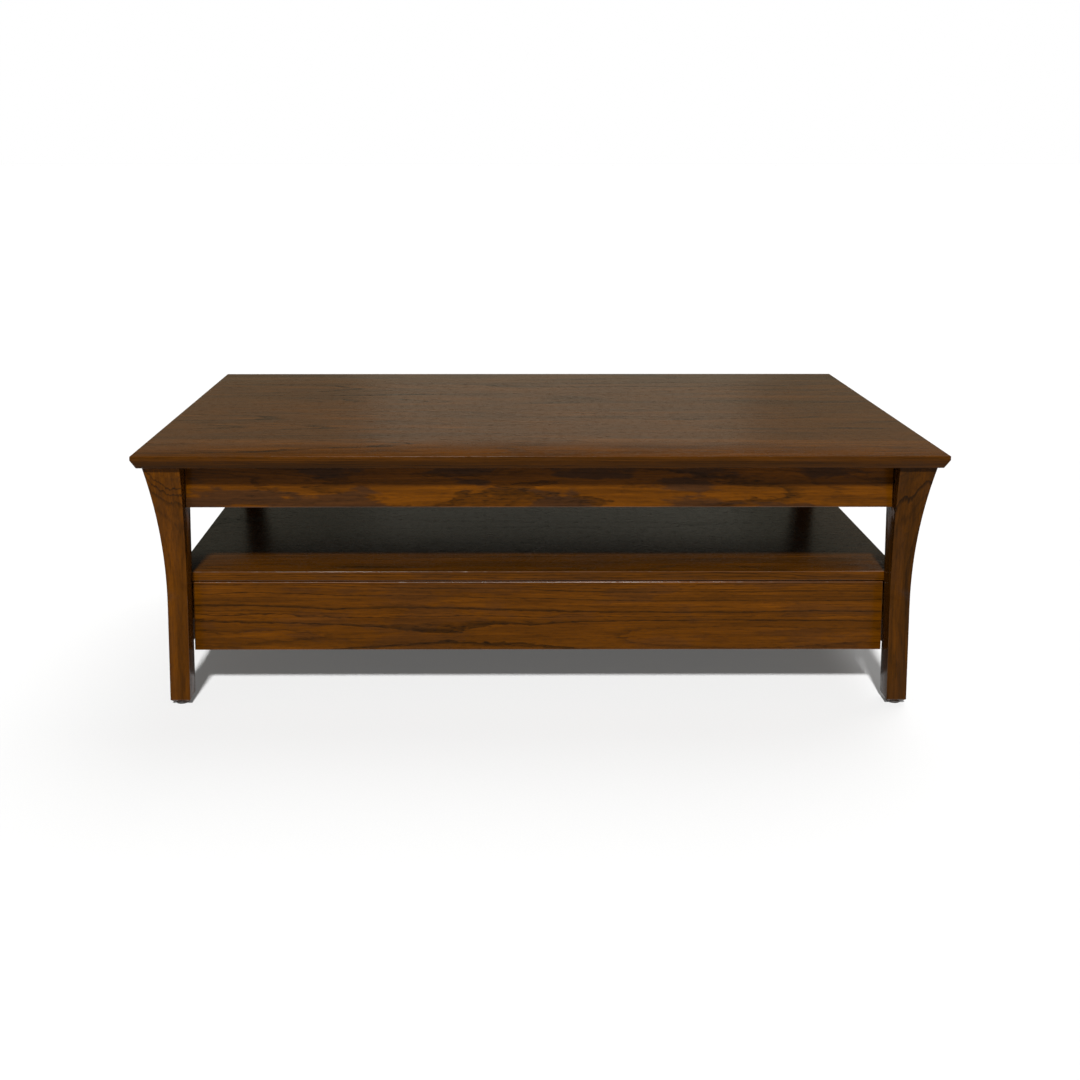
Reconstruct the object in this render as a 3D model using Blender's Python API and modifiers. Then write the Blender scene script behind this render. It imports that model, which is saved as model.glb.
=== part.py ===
"""A lift top coffee table, in metres, +Z up, with its origin on the floor under its middle.

The front is at -Y. The top rises and comes forward on a pair of four-bar linkages, one at each end of
the compartment under it, and stays level. A full-width drawer runs under the open shelf.
"""

import math

import bmesh
import bpy
from mathutils import Matrix, Vector

# Driving dimensions -------------------------------------------------------------------------------
FIT = 0.0003  # gap between two pieces that touch
PIVOT_CLEARANCE = 0.0004  # round a pin, on the radius

TOP_LENGTH = 1.270
TOP_DEPTH = 0.660
TOP_HEIGHT = 0.422
TOP_THICK = 0.021
TOP_EDGE_FLAT = 0.0065  # upright part of the edge, over the under-bevel
TOP_UNDER_BEVEL = 0.0075  # how far the under-bevel runs in
LID_GAP = 0.002  # between the closed top and the frame
TOP_OVERHANG = 0.0405  # past the straight outer faces of the legs

LEG_WIDTH = 0.032
LEG_FLARE = 0.026  # how far each outer face swings out at the top
LEG_FLARE_START = 0.165  # height where the outer faces leave the straight
LEG_FLARE_STEPS = 14
LEG_FOOT_CHAMFER = 0.005
GLIDE_RADIUS = 0.012
GLIDE_HEIGHT = 0.004

APRON_THICK = 0.019
APRON_HEIGHT = 0.072
APRON_SETBACK = 0.004  # behind the straight outer faces of the legs
TENON_LENGTH = 0.009
TENON_THICK = 0.009
TENON_SHOULDER = 0.012  # apron left above and below a tenon
FLOOR_THICK = 0.006
FLOOR_RISE = 0.004  # apron left under the compartment floor
GROOVE_DEPTH = 0.005
CORNER_BLOCK_LEG = 0.030
CORNER_BLOCK_HEIGHT = 0.034

SHELF_HEIGHT = 0.211
SHELF_THICK = 0.0155
SHELF_INSET = 0.0055  # its ends, inside the outer faces of the legs
SIDE_THICK = 0.016
BACK_THICK = 0.012
CASE_HEIGHT = 0.1168  # of the sides and the back, under the shelf

DRAWER_FRONT_THICK = 0.018
DRAWER_FRONT_HEIGHT = 0.115
DRAWER_TOP_REVEAL = 0.002
DRAWER_END_REVEAL = 0.001
DRAWER_SIDE_THICK = 0.012
DRAWER_SIDE_HEIGHT = 0.078
DRAWER_SIDE_DROP = 0.014  # box sides, under the top of the front
DRAWER_BOTTOM_THICK = 0.006
DRAWER_BOTTOM_RISE = 0.008
SLIDE_BACK_ROOM = 0.0304  # slides, ahead of the case back
SLIDE_SPACE = 0.0127  # between the slide packer and the drawer's side
SLIDE_SHEET = 0.0012
SLIDE_HEIGHT = 0.045
SLIDE_BALL_ROOM = 0.0025
SLIDE_DROP = 0.048  # middle of the slides, under the top of the drawer front
DRAWER_BACK_CLEARANCE = 0.004  # slides, behind the drawer front

ARM_WIDTH = 0.020
ARM_THICK = 0.003
ARM_SPACING = 0.070  # between the front and the rear pivots
CHANNEL_FRONT_ROOM = 0.0027  # base channels, behind the front corner blocks
CHANNEL_BACK_ROOM = 0.0789  # top channels, ahead of the back apron
PIVOT_RISE = 0.019  # lower pivots, over the compartment floor
TOP_PIVOT_DROP = 0.014  # upper pivots, under the top panel
OPEN_TURN = math.radians(122.0)
CHANNEL_WIDTH = 0.0412
CHANNEL_SHEET = 0.0025
CHANNEL_TAIL = 0.060  # steel past the rear pivot, for its screws
CHANNEL_NOSE = 0.034  # steel ahead of the front pivot
CHANNEL_RISE = 0.036
PIN_RADIUS = 0.004
PIN_HEAD = 0.0065
PIN_HEAD_THICK = 0.002
TUBE_RADIUS = 0.008
TUBE_WALL = 0.0015
BUSH_WALL = 0.0015
BUSH_FLANGE = 0.0025
FRONT_ARM_INSET = 0.006  # front arm, from the inner wall's outer face
REAR_ARM_INSET = 0.0085  # rear arm, from the side apron
STOP_RADIUS = 0.003
STOP_REACH = 0.025  # stop pin, along the open arm
SPRING_WIRE = 0.0025
SPRING_PITCH = 0.0030
SPRING_TURNS = 4
SPRING_LEG = 0.022
SPRING_STEPS = 14  # points in one turn

BUMPER_RADIUS = 0.005

ROUND_STEPS = 24

# Places worked out from them ----------------------------------------------------------------------
TOP_UNDERSIDE = TOP_HEIGHT - TOP_THICK
FRAME_TOP = TOP_UNDERSIDE - LID_GAP
LEG_X = TOP_LENGTH / 2 - TOP_OVERHANG  # straight outer faces
LEG_Y = TOP_DEPTH / 2 - TOP_OVERHANG
LEG_INNER_X = LEG_X - LEG_WIDTH
LEG_INNER_Y = LEG_Y - LEG_WIDTH

APRON_X = LEG_X - APRON_SETBACK
APRON_Y = LEG_Y - APRON_SETBACK
APRON_BOTTOM = FRAME_TOP - APRON_HEIGHT
APRON_INNER_X = APRON_X - APRON_THICK
APRON_INNER_Y = APRON_Y - APRON_THICK
FLOOR_BOTTOM = APRON_BOTTOM + FLOOR_RISE
FLOOR_TOP = FLOOR_BOTTOM + FLOOR_THICK

SHELF_X = LEG_X - SHELF_INSET
CASE_Y = LEG_INNER_Y - FIT
SHELF_BOTTOM = SHELF_HEIGHT - SHELF_THICK
SIDE_INNER_X = SHELF_X - SIDE_THICK
CASE_TOP = SHELF_BOTTOM - FIT
CASE_BOTTOM = CASE_TOP - CASE_HEIGHT

FRONT_TOP = SHELF_BOTTOM - DRAWER_TOP_REVEAL
FRONT_BACK_Y = -CASE_Y + DRAWER_FRONT_THICK
DRAWER_X = LEG_INNER_X - DRAWER_END_REVEAL  # half the drawer's width, and where the slides start
DRAWER_SIDE_X = DRAWER_X - SLIDE_SPACE
DRAWER_SIDE_TOP = FRONT_TOP - DRAWER_SIDE_DROP
DRAWER_SIDE_BOTTOM = DRAWER_SIDE_TOP - DRAWER_SIDE_HEIGHT
SLIDE_Z = FRONT_TOP - SLIDE_DROP
SLIDE_FRONT_Y = FRONT_BACK_Y + DRAWER_BACK_CLEARANCE
SLIDE_BACK_Y = CASE_Y - BACK_THICK - SLIDE_BACK_ROOM
SLIDE_LENGTH = SLIDE_BACK_Y - SLIDE_FRONT_Y

BLOCK_END_Y = LEG_INNER_Y - FIT - CORNER_BLOCK_LEG
PIVOT_Y = -BLOCK_END_Y + CHANNEL_FRONT_ROOM + CHANNEL_NOSE
PIVOT_Z = FLOOR_TOP + PIVOT_RISE
REAR_PIVOT_Y = PIVOT_Y + ARM_SPACING
TOP_PIVOT_Z = TOP_UNDERSIDE - TOP_PIVOT_DROP
REAR_TOP_PIVOT_Y = APRON_INNER_Y - CHANNEL_BACK_ROOM - CHANNEL_TAIL
TOP_PIVOT_Y = REAR_TOP_PIVOT_Y - ARM_SPACING
ARM_LENGTH = math.hypot(TOP_PIVOT_Y - PIVOT_Y, TOP_PIVOT_Z - PIVOT_Z)  # between pivots
CLOSED_ANGLE = math.asin((TOP_PIVOT_Z - PIVOT_Z) / ARM_LENGTH)
OPEN_ANGLE = CLOSED_ANGLE + OPEN_TURN
CHANNEL_X = APRON_INNER_X - FIT  # outer face of the channels
CHANNEL_INNER_X = CHANNEL_X - CHANNEL_WIDTH
FRONT_ARM_X = CHANNEL_INNER_X + FRONT_ARM_INSET
REAR_ARM_X = CHANNEL_X - REAR_ARM_INSET - ARM_THICK

SIDES = {"left": -1, "right": 1}
CORNERS = {
    "front_left": (-1, -1),
    "front_right": (1, -1),
    "back_left": (-1, 1),
    "back_right": (1, 1),
}
BACKS = {"front": -1, "back": 1}


# The scene ----------------------------------------------------------------------------------------
for old in list(bpy.data.objects):
    bpy.data.objects.remove(old, do_unlink=True)


def new_collection(name):
    made = bpy.data.collections.new(name)
    bpy.context.scene.collection.children.link(made)
    return made


PARTS = new_collection("lift_top_coffee_table")
CUTTERS = new_collection("cutters")


def finish(name, rgb, roughness, metallic=0.0):
    """A plain material of one colour."""
    material = bpy.data.materials.new(name)
    material.use_nodes = True
    shader = material.node_tree.nodes["Principled BSDF"]
    shader.inputs["Base Color"].default_value = (*rgb, 1.0)
    shader.inputs["Roughness"].default_value = roughness
    shader.inputs["Metallic"].default_value = metallic
    return material


OAK = finish("dark_stained_oak", (0.060, 0.040, 0.030), 0.38)
PLYWOOD = finish("stained_plywood", (0.120, 0.075, 0.045), 0.60)
BIRCH = finish("birch_drawer_wood", (0.520, 0.360, 0.200), 0.50)
BLACK_STEEL = finish("black_powder_coated_steel", (0.020, 0.020, 0.022), 0.45, 0.6)
ZINC = finish("zinc_plated_steel", (0.600, 0.610, 0.620), 0.30, 1.0)
SPRING_STEEL = finish("spring_steel", (0.350, 0.350, 0.360), 0.30, 1.0)
NYLON = finish("black_nylon", (0.015, 0.015, 0.015), 0.50)
RUBBER = finish("clear_grey_rubber", (0.250, 0.250, 0.250), 0.60)


# Tools --------------------------------------------------------------------------------------------
def add(name, data, material):
    """One piece of the table, under its own name."""
    piece = bpy.data.objects.new(name, data)
    PARTS.objects.link(piece)
    data.materials.append(material)
    return piece


def cube_mesh(name, size):
    mesh = bpy.data.meshes.new(name)
    bm = bmesh.new()
    bmesh.ops.create_cube(bm, size=1.0, matrix=Matrix.Diagonal((*size, 1.0)))
    bm.to_mesh(mesh)
    bm.free()
    return mesh


def span(low, high):
    """Centre and size of the box between two corners, given in any order."""
    low, high = Vector(low), Vector(high)
    return (low + high) / 2, Vector(abs(h - l) for l, h in zip(low, high))


def box(name, low, high, material):
    centre, size = span(low, high)
    piece = add(name, cube_mesh(name, size), material)
    piece.location = centre
    return piece


def cutter(data, matrix):
    tool = bpy.data.objects.new(data.name, data)
    CUTTERS.objects.link(tool)
    tool.matrix_world = matrix
    tool.hide_render = True
    tool.hide_set(True)
    tool.display_type = "WIRE"
    return tool


def combine(piece, tool, operation):
    modifier = piece.modifiers.new(tool.name, "BOOLEAN")
    modifier.object = tool
    modifier.operation = operation
    modifier.solver = "EXACT"


def cut_box(piece, low, high):
    centre, size = span(low, high)
    mesh = cube_mesh(f"{piece.name}_cut", size)
    combine(piece, cutter(mesh, Matrix.Translation(centre)), "DIFFERENCE")


def join_box(piece, low, high):
    centre, size = span(low, high)
    mesh = cube_mesh(f"{piece.name}_joined", size)
    combine(piece, cutter(mesh, Matrix.Translation(centre)), "UNION")


ALONG = {
    "X": Matrix(((0, 0, 1), (1, 0, 0), (0, 1, 0))),  # outline in (Y, Z)
    "Y": Matrix(((1, 0, 0), (0, 0, -1), (0, 1, 0))),  # outline in (X, Z)
    "Z": Matrix.Identity(3),  # outline in (X, Y)
}


def placed(axis, centre):
    return Matrix.Translation(centre) @ ALONG[axis].to_4x4()


def bore(piece, axis, centre, radius, length):
    """A round hole through a piece."""
    mesh = bpy.data.meshes.new(f"{piece.name}_bore")
    bm = bmesh.new()
    bmesh.ops.create_cone(
        bm, cap_ends=True, segments=ROUND_STEPS, radius1=radius, radius2=radius, depth=length
    )
    bm.to_mesh(mesh)
    bm.free()
    combine(piece, cutter(mesh, placed(axis, centre)), "DIFFERENCE")


def circle(centre, radius, steps=ROUND_STEPS):
    turns = [2 * math.pi * i / steps for i in range(steps)]
    return [(centre[0] + radius * math.cos(t), centre[1] + radius * math.sin(t)) for t in turns]


def outline_mesh(name, loops, thickness):
    """A flat outline, with any holes as further loops, made solid to both sides of its plane."""
    curve = bpy.data.curves.new(name, "CURVE")
    curve.dimensions = "2D"
    curve.fill_mode = "BOTH"
    curve.extrude = thickness / 2
    for loop in loops:
        spline = curve.splines.new("POLY")
        spline.points.add(len(loop) - 1)
        for point, (u, v) in zip(spline.points, loop):
            point.co = (u, v, 0.0, 1.0)
        spline.use_cyclic_u = True
    drawn = bpy.data.objects.new(name, curve)
    CUTTERS.objects.link(drawn)
    depsgraph = bpy.context.evaluated_depsgraph_get()
    mesh = bpy.data.meshes.new_from_object(drawn.evaluated_get(depsgraph))
    mesh.name = name
    bpy.data.objects.remove(drawn, do_unlink=True)
    bm = bmesh.new()
    bm.from_mesh(mesh)
    bmesh.ops.remove_doubles(bm, verts=bm.verts, dist=0.00001)
    bmesh.ops.recalc_face_normals(bm, faces=bm.faces)
    bm.to_mesh(mesh)
    bm.free()
    return mesh


def plate(name, axis, loops, start, end, material):
    """An outline made solid from start to end along an axis."""
    middle = (start + end) / 2
    centre = {"X": (middle, 0, 0), "Y": (0, middle, 0), "Z": (0, 0, middle)}[axis]
    piece = add(name, outline_mesh(name, loops, abs(end - start)), material)
    piece.matrix_world = placed(axis, centre)
    return piece


def turned(name, profile, axis, centre, material, closed=False):
    """A profile of (radius, height) points, down its outer side, turned about an axis."""
    mesh = bpy.data.meshes.new(name)
    bm = bmesh.new()
    points = [bm.verts.new((r, 0.0, h)) for r, h in profile]
    for a, b in zip(points, points[1:]):
        bm.edges.new((a, b))
    if closed:
        bm.edges.new((points[-1], points[0]))
    bm.to_mesh(mesh)
    bm.free()
    piece = add(name, mesh, material)
    piece.matrix_world = placed(axis, centre)
    screw = piece.modifiers.new("Turn", "SCREW")
    screw.steps = screw.render_steps = ROUND_STEPS
    screw.use_merge_vertices = True
    screw.merge_threshold = 0.00001
    screw.use_smooth_shade = True
    return piece


def hang(joint, where, pieces):
    """Puts pieces under an empty on their joint's axis, where they are."""
    empty = bpy.data.objects.new(joint, None)
    PARTS.objects.link(empty)
    empty.location = where
    for piece in pieces:
        piece.parent = empty
        piece.matrix_parent_inverse = Matrix.Translation(where).inverted()
    return empty


# Legs ---------------------------------------------------------------------------------------------
def leg_outline(sign, outer):
    """A leg's side view: straight below, with the outer face swinging out in an arc above."""
    rise = FRAME_TOP - LEG_FLARE_START
    radius = (rise**2 + LEG_FLARE**2) / (2 * LEG_FLARE)
    sweep = math.asin(rise / radius)
    chamfer = LEG_FOOT_CHAMFER
    inner = outer - LEG_WIDTH
    points = [
        (inner, FRAME_TOP),
        (inner, GLIDE_HEIGHT + chamfer),
        (inner + chamfer, GLIDE_HEIGHT),
        (outer - chamfer, GLIDE_HEIGHT),
        (outer, GLIDE_HEIGHT + chamfer),
    ]
    for step in range(LEG_FLARE_STEPS + 1):
        turn = sweep * step / LEG_FLARE_STEPS
        swing = radius * (1 - math.cos(turn))
        points.append((outer + swing, LEG_FLARE_START + radius * math.sin(turn)))
    return [(sign * u, v) for u, v in points]


def tenon_heights():
    return APRON_BOTTOM + TENON_SHOULDER, FRAME_TOP - TENON_SHOULDER


TENON_Y = APRON_Y - APRON_THICK / 2  # middle of the front and back tenons
TENON_X = APRON_X - APRON_THICK / 2


def make_leg(corner, sx, sy):
    reach = 2 * (LEG_WIDTH + LEG_FLARE)
    middle_y, middle_x = sy * LEG_INNER_Y, sx * LEG_INNER_X
    leg = plate(
        f"leg_{corner}", "Y", [leg_outline(sx, LEG_X)], middle_y - reach, middle_y + reach, OAK
    )
    side_view = outline_mesh(f"leg_{corner}_side", [leg_outline(sy, LEG_Y)], 2 * reach)
    combine(leg, cutter(side_view, placed("X", (middle_x, 0, 0))), "INTERSECT")
    low, high = tenon_heights()
    half = TENON_THICK / 2 + FIT
    deep = TENON_LENGTH + FIT
    cut_box(
        leg,
        (sx * (LEG_INNER_X - deep), sy * (TENON_Y - half), low - FIT),
        (sx * (LEG_INNER_X + deep), sy * (TENON_Y + half), high + FIT),
    )
    cut_box(
        leg,
        (sx * (TENON_X - half), sy * (LEG_INNER_Y - deep), low - FIT),
        (sx * (TENON_X + half), sy * (LEG_INNER_Y + deep), high + FIT),
    )


def make_glide(corner, sx, sy):
    centre = (sx * (LEG_X - LEG_WIDTH / 2), sy * (LEG_Y - LEG_WIDTH / 2), 0)
    top = GLIDE_HEIGHT - FIT
    rim = GLIDE_RADIUS - 0.001
    profile = [(0, top), (GLIDE_RADIUS, top), (GLIDE_RADIUS, 0.001), (rim, 0), (0, 0)]
    turned(f"foot_glide_{corner}", profile, "Z", centre, NYLON)


def make_bumper(corner, sx, sy):
    """A rubber dot on top of the leg, which the closed top lands on."""
    centre = (sx * LEG_X, sy * LEG_Y, FRAME_TOP)
    top = LID_GAP - FIT
    dome = BUMPER_RADIUS * 0.7
    profile = [
        (0, top), (dome, top), (BUMPER_RADIUS, FIT + 0.0006), (BUMPER_RADIUS, FIT), (0, FIT),
    ]
    turned(f"lid_bumper_{corner}", profile, "Z", centre, RUBBER)


for corner_name, (x_sign, y_sign) in CORNERS.items():
    make_leg(corner_name, x_sign, y_sign)
    make_glide(corner_name, x_sign, y_sign)
    make_bumper(corner_name, x_sign, y_sign)


# Aprons, corner blocks and the compartment floor --------------------------------------------------
def make_long_apron(place, sy):
    low, high = tenon_heights()
    end = LEG_INNER_X - FIT
    apron = box(
        f"apron_{place}",
        (-end, sy * APRON_INNER_Y, APRON_BOTTOM),
        (end, sy * APRON_Y, FRAME_TOP),
        OAK,
    )
    reach = LEG_INNER_X + TENON_LENGTH
    join_box(
        apron,
        (-reach, sy * (TENON_Y - TENON_THICK / 2), low),
        (reach, sy * (TENON_Y + TENON_THICK / 2), high),
    )
    cut_box(
        apron,
        (-TOP_LENGTH, sy * (APRON_INNER_Y - GROOVE_DEPTH), FLOOR_BOTTOM - FIT),
        (TOP_LENGTH, sy * (APRON_INNER_Y + GROOVE_DEPTH), FLOOR_TOP + FIT),
    )


def make_short_apron(place, sx):
    low, high = tenon_heights()
    end = LEG_INNER_Y - FIT
    apron = box(
        f"apron_{place}",
        (sx * APRON_INNER_X, -end, APRON_BOTTOM),
        (sx * APRON_X, end, FRAME_TOP),
        OAK,
    )
    reach = LEG_INNER_Y + TENON_LENGTH
    join_box(
        apron,
        (sx * (TENON_X - TENON_THICK / 2), -reach, low),
        (sx * (TENON_X + TENON_THICK / 2), reach, high),
    )
    cut_box(
        apron,
        (sx * (APRON_INNER_X - GROOVE_DEPTH), -TOP_DEPTH, FLOOR_BOTTOM - FIT),
        (sx * (APRON_INNER_X + GROOVE_DEPTH), TOP_DEPTH, FLOOR_TOP + FIT),
    )


def make_corner_block(corner, sx, sy):
    """A glue block against both aprons, notched round the leg."""
    apron_x, apron_y = APRON_INNER_X - FIT, APRON_INNER_Y - FIT
    leg_x, leg_y = LEG_INNER_X - FIT, LEG_INNER_Y - FIT
    corners = [
        (apron_x, leg_y),
        (leg_x, leg_y),
        (leg_x, apron_y),
        (leg_x - CORNER_BLOCK_LEG, apron_y),
        (apron_x, BLOCK_END_Y),
    ]
    bottom = FLOOR_TOP + FIT
    outline = [(sx * x, sy * y) for x, y in corners]
    top = bottom + CORNER_BLOCK_HEIGHT
    plate(f"corner_block_{corner}", "Z", [outline], bottom, top, OAK)


def make_floor():
    """The compartment floor, let into the aprons and notched round the legs."""
    x, y = APRON_INNER_X + GROOVE_DEPTH - FIT, APRON_INNER_Y + GROOVE_DEPTH - FIT
    leg_x, leg_y = LEG_INNER_X - FIT, LEG_INNER_Y - FIT
    quarter = [(leg_x, y), (leg_x, leg_y), (x, leg_y)]
    outline = [(-u, v) for u, v in quarter[::-1]] + quarter
    outline += [(u, -v) for u, v in quarter[::-1]] + [(-u, -v) for u, v in quarter]
    plate("compartment_floor", "Z", [outline], FLOOR_BOTTOM, FLOOR_TOP, PLYWOOD)


for place_name, y_sign in BACKS.items():
    make_long_apron(place_name, y_sign)
for side_name, x_sign in SIDES.items():
    make_short_apron(side_name, x_sign)
for corner_name, (x_sign, y_sign) in CORNERS.items():
    make_corner_block(corner_name, x_sign, y_sign)
make_floor()


# Shelf and the case under it ----------------------------------------------------------------------
box("shelf", (-SHELF_X, -CASE_Y, SHELF_BOTTOM), (SHELF_X, CASE_Y, SHELF_HEIGHT), OAK)
box(
    "case_back",
    (-SIDE_INNER_X + FIT, CASE_Y - BACK_THICK, CASE_BOTTOM),
    (SIDE_INNER_X - FIT, CASE_Y, CASE_TOP),
    OAK,
)


def make_case_side(side, sx):
    box(
        f"case_side_{side}",
        (sx * SIDE_INNER_X, -CASE_Y, CASE_BOTTOM),
        (sx * SHELF_X, CASE_Y, CASE_TOP),
        OAK,
    )
    half = SLIDE_HEIGHT / 2
    box(
        f"slide_packer_{side}",
        (sx * (DRAWER_X + FIT), SLIDE_FRONT_Y, SLIDE_Z - half),
        (sx * (SIDE_INNER_X - FIT), SLIDE_BACK_Y, SLIDE_Z + half),
        PLYWOOD,
    )


# Drawer slides: three channels, one inside the other ----------------------------------------------
def channel_outline(sx, web, lips, height, sheet, middle):
    """A C section: its web's outer face at one X, its lips' ends at another."""
    step = math.copysign(sheet, lips - web)
    half = height / 2
    points = [
        (web, -half),
        (lips, -half),
        (lips, -half + sheet),
        (web + step, -half + sheet),
        (web + step, half - sheet),
        (lips, half - sheet),
        (lips, half),
        (web, half),
    ]
    return [(sx * x, middle + z) for x, z in points]


SLIDE_STEP = 2 * (SLIDE_SHEET + SLIDE_BALL_ROOM)
SLIDE_LIPS_X = DRAWER_X - SLIDE_SPACE + 0.0030  # ends of the outer and middle lips
MIDDLE_WEB_X = DRAWER_X - SLIDE_SHEET - 0.0010
INNER_WEB_X = DRAWER_SIDE_X + FIT
INNER_LIPS_X = MIDDLE_WEB_X - SLIDE_SHEET - 0.0010


def make_slide(side, sx):
    members = {
        "outer": (DRAWER_X, SLIDE_LIPS_X, SLIDE_HEIGHT),
        "middle": (MIDDLE_WEB_X, SLIDE_LIPS_X, SLIDE_HEIGHT - SLIDE_STEP),
        "inner": (INNER_WEB_X, INNER_LIPS_X, SLIDE_HEIGHT - 2 * SLIDE_STEP),
    }
    made = {}
    for member, (web, lips, height) in members.items():
        outline = channel_outline(sx, web, lips, height, SLIDE_SHEET, SLIDE_Z)
        name = f"slide_{member}_{side}"
        made[member] = plate(name, "Y", [outline], SLIDE_FRONT_Y, SLIDE_BACK_Y, ZINC)
    return made


# Drawer -------------------------------------------------------------------------------------------
DRAWER_BACK_Y = FRONT_BACK_Y + FIT + SLIDE_LENGTH
DRAWER_BOTTOM_Z = DRAWER_SIDE_BOTTOM + DRAWER_BOTTOM_RISE
DRAWER_INNER_X = DRAWER_SIDE_X - DRAWER_SIDE_THICK


def cut_bottom_groove(piece, low, high):
    """A groove for the drawer's bottom, between two (X, Y) corners."""
    cut_box(
        piece,
        (*low, DRAWER_BOTTOM_Z - FIT),
        (*high, DRAWER_BOTTOM_Z + DRAWER_BOTTOM_THICK + FIT),
    )


def make_drawer():
    front = box(
        "drawer_front",
        (-DRAWER_X, -CASE_Y, FRONT_TOP - DRAWER_FRONT_HEIGHT),
        (DRAWER_X, FRONT_BACK_Y, FRONT_TOP),
        OAK,
    )
    reach = DRAWER_INNER_X + GROOVE_DEPTH
    cut_bottom_groove(front, (-reach, FRONT_BACK_Y - GROOVE_DEPTH), (reach, 0))
    pieces = [front]
    for side, sx in SIDES.items():
        wall = box(
            f"drawer_side_{side}",
            (sx * DRAWER_INNER_X, FRONT_BACK_Y + FIT, DRAWER_SIDE_BOTTOM),
            (sx * DRAWER_SIDE_X, DRAWER_BACK_Y, DRAWER_SIDE_TOP),
            BIRCH,
        )
        cut_bottom_groove(wall, (0, -TOP_DEPTH), (sx * reach, TOP_DEPTH))
        pieces.append(wall)
    back_front_y = DRAWER_BACK_Y - DRAWER_SIDE_THICK
    back = box(
        "drawer_back",
        (-DRAWER_INNER_X + FIT, back_front_y, DRAWER_SIDE_BOTTOM),
        (DRAWER_INNER_X - FIT, DRAWER_BACK_Y, DRAWER_SIDE_TOP),
        BIRCH,
    )
    cut_bottom_groove(back, (-TOP_LENGTH, 0), (TOP_LENGTH, back_front_y + GROOVE_DEPTH))
    x = reach - FIT
    bottom = box(
        "drawer_bottom",
        (-x, FRONT_BACK_Y - GROOVE_DEPTH + FIT, DRAWER_BOTTOM_Z),
        (x, back_front_y + GROOVE_DEPTH - FIT, DRAWER_BOTTOM_Z + DRAWER_BOTTOM_THICK),
        BIRCH,
    )
    return pieces + [back, bottom]


drawer_pieces = make_drawer()
for side_name, x_sign in SIDES.items():
    make_case_side(side_name, x_sign)
    slide = make_slide(side_name, x_sign)
    drawer_pieces.append(slide["inner"])
    runner_at = (x_sign * MIDDLE_WEB_X, SLIDE_FRONT_Y, SLIDE_Z)
    hang(f"slide_middle_{side_name}_axis", runner_at, [slide["middle"]])
hang("drawer_axis", (0, -CASE_Y, SLIDE_Z), drawer_pieces)


# Lift mechanism -----------------------------------------------------------------------------------
def make_arm(name, x, sx, pivot_y, hole_low, hole_high):
    """A flat bar with round ends, at its closed angle, pivoting at its front end."""
    along = Vector((math.cos(CLOSED_ANGLE), math.sin(CLOSED_ANGLE)))
    low = Vector((pivot_y, PIVOT_Z))
    high = low + ARM_LENGTH * along
    half = ROUND_STEPS // 2
    outline = []
    for centre, first in ((low, CLOSED_ANGLE + math.pi / 2), (high, CLOSED_ANGLE - math.pi / 2)):
        for step in range(half + 1):
            turn = first + math.pi * step / half
            outline.append(tuple(centre + ARM_WIDTH / 2 * Vector((math.cos(turn), math.sin(turn)))))
    loops = [outline, circle(low, hole_low), circle(high, hole_high)]
    return plate(name, "X", loops, sx * x, sx * (x + ARM_THICK), BLACK_STEEL)


def make_base_channel(side, sx):
    """Folded steel on the compartment floor, open on top, its two walls carrying the pivots."""
    bottom = FLOOR_TOP + FIT
    top = bottom + CHANNEL_RISE
    outer, inner, sheet = CHANNEL_X, CHANNEL_INNER_X, CHANNEL_SHEET
    points = [
        (inner, top), (inner, bottom), (outer, bottom), (outer, top),
        (outer - sheet, top), (outer - sheet, bottom + sheet),
        (inner + sheet, bottom + sheet), (inner + sheet, top),
    ]
    outline = [(sx * x, z) for x, z in points]
    start, end = PIVOT_Y - CHANNEL_NOSE, REAR_PIVOT_Y + CHANNEL_TAIL
    channel = plate(f"base_channel_{side}", "Y", [outline], start, end, BLACK_STEEL)
    inner_hole = TUBE_RADIUS + BUSH_WALL + 2 * PIVOT_CLEARANCE
    wall = 3 * CHANNEL_SHEET
    bore(channel, "X", (sx * inner, PIVOT_Y, PIVOT_Z), inner_hole, 2 * wall)
    outer_hole = TUBE_RADIUS + PIVOT_CLEARANCE
    bore(channel, "X", (sx * outer, PIVOT_Y, PIVOT_Z), outer_hole, 2 * wall)
    bore(channel, "X", (sx * outer, REAR_PIVOT_Y, PIVOT_Z), PIN_RADIUS + FIT, 2 * wall)
    stop_y, stop_z = stop_place()
    bore(channel, "X", (sx * inner, stop_y, stop_z), STOP_RADIUS + FIT, 2 * wall)


def stop_place():
    """Centre of the stop pin, under the opened front arm's lower edge."""
    along = Vector((math.cos(OPEN_ANGLE), math.sin(OPEN_ANGLE)))
    below = Vector((math.cos(OPEN_ANGLE + math.pi / 2), math.sin(OPEN_ANGLE + math.pi / 2)))
    away = ARM_WIDTH / 2 + FIT + STOP_RADIUS
    place = Vector((PIVOT_Y, PIVOT_Z)) + STOP_REACH * along + away * below
    return place.x, place.y


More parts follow.
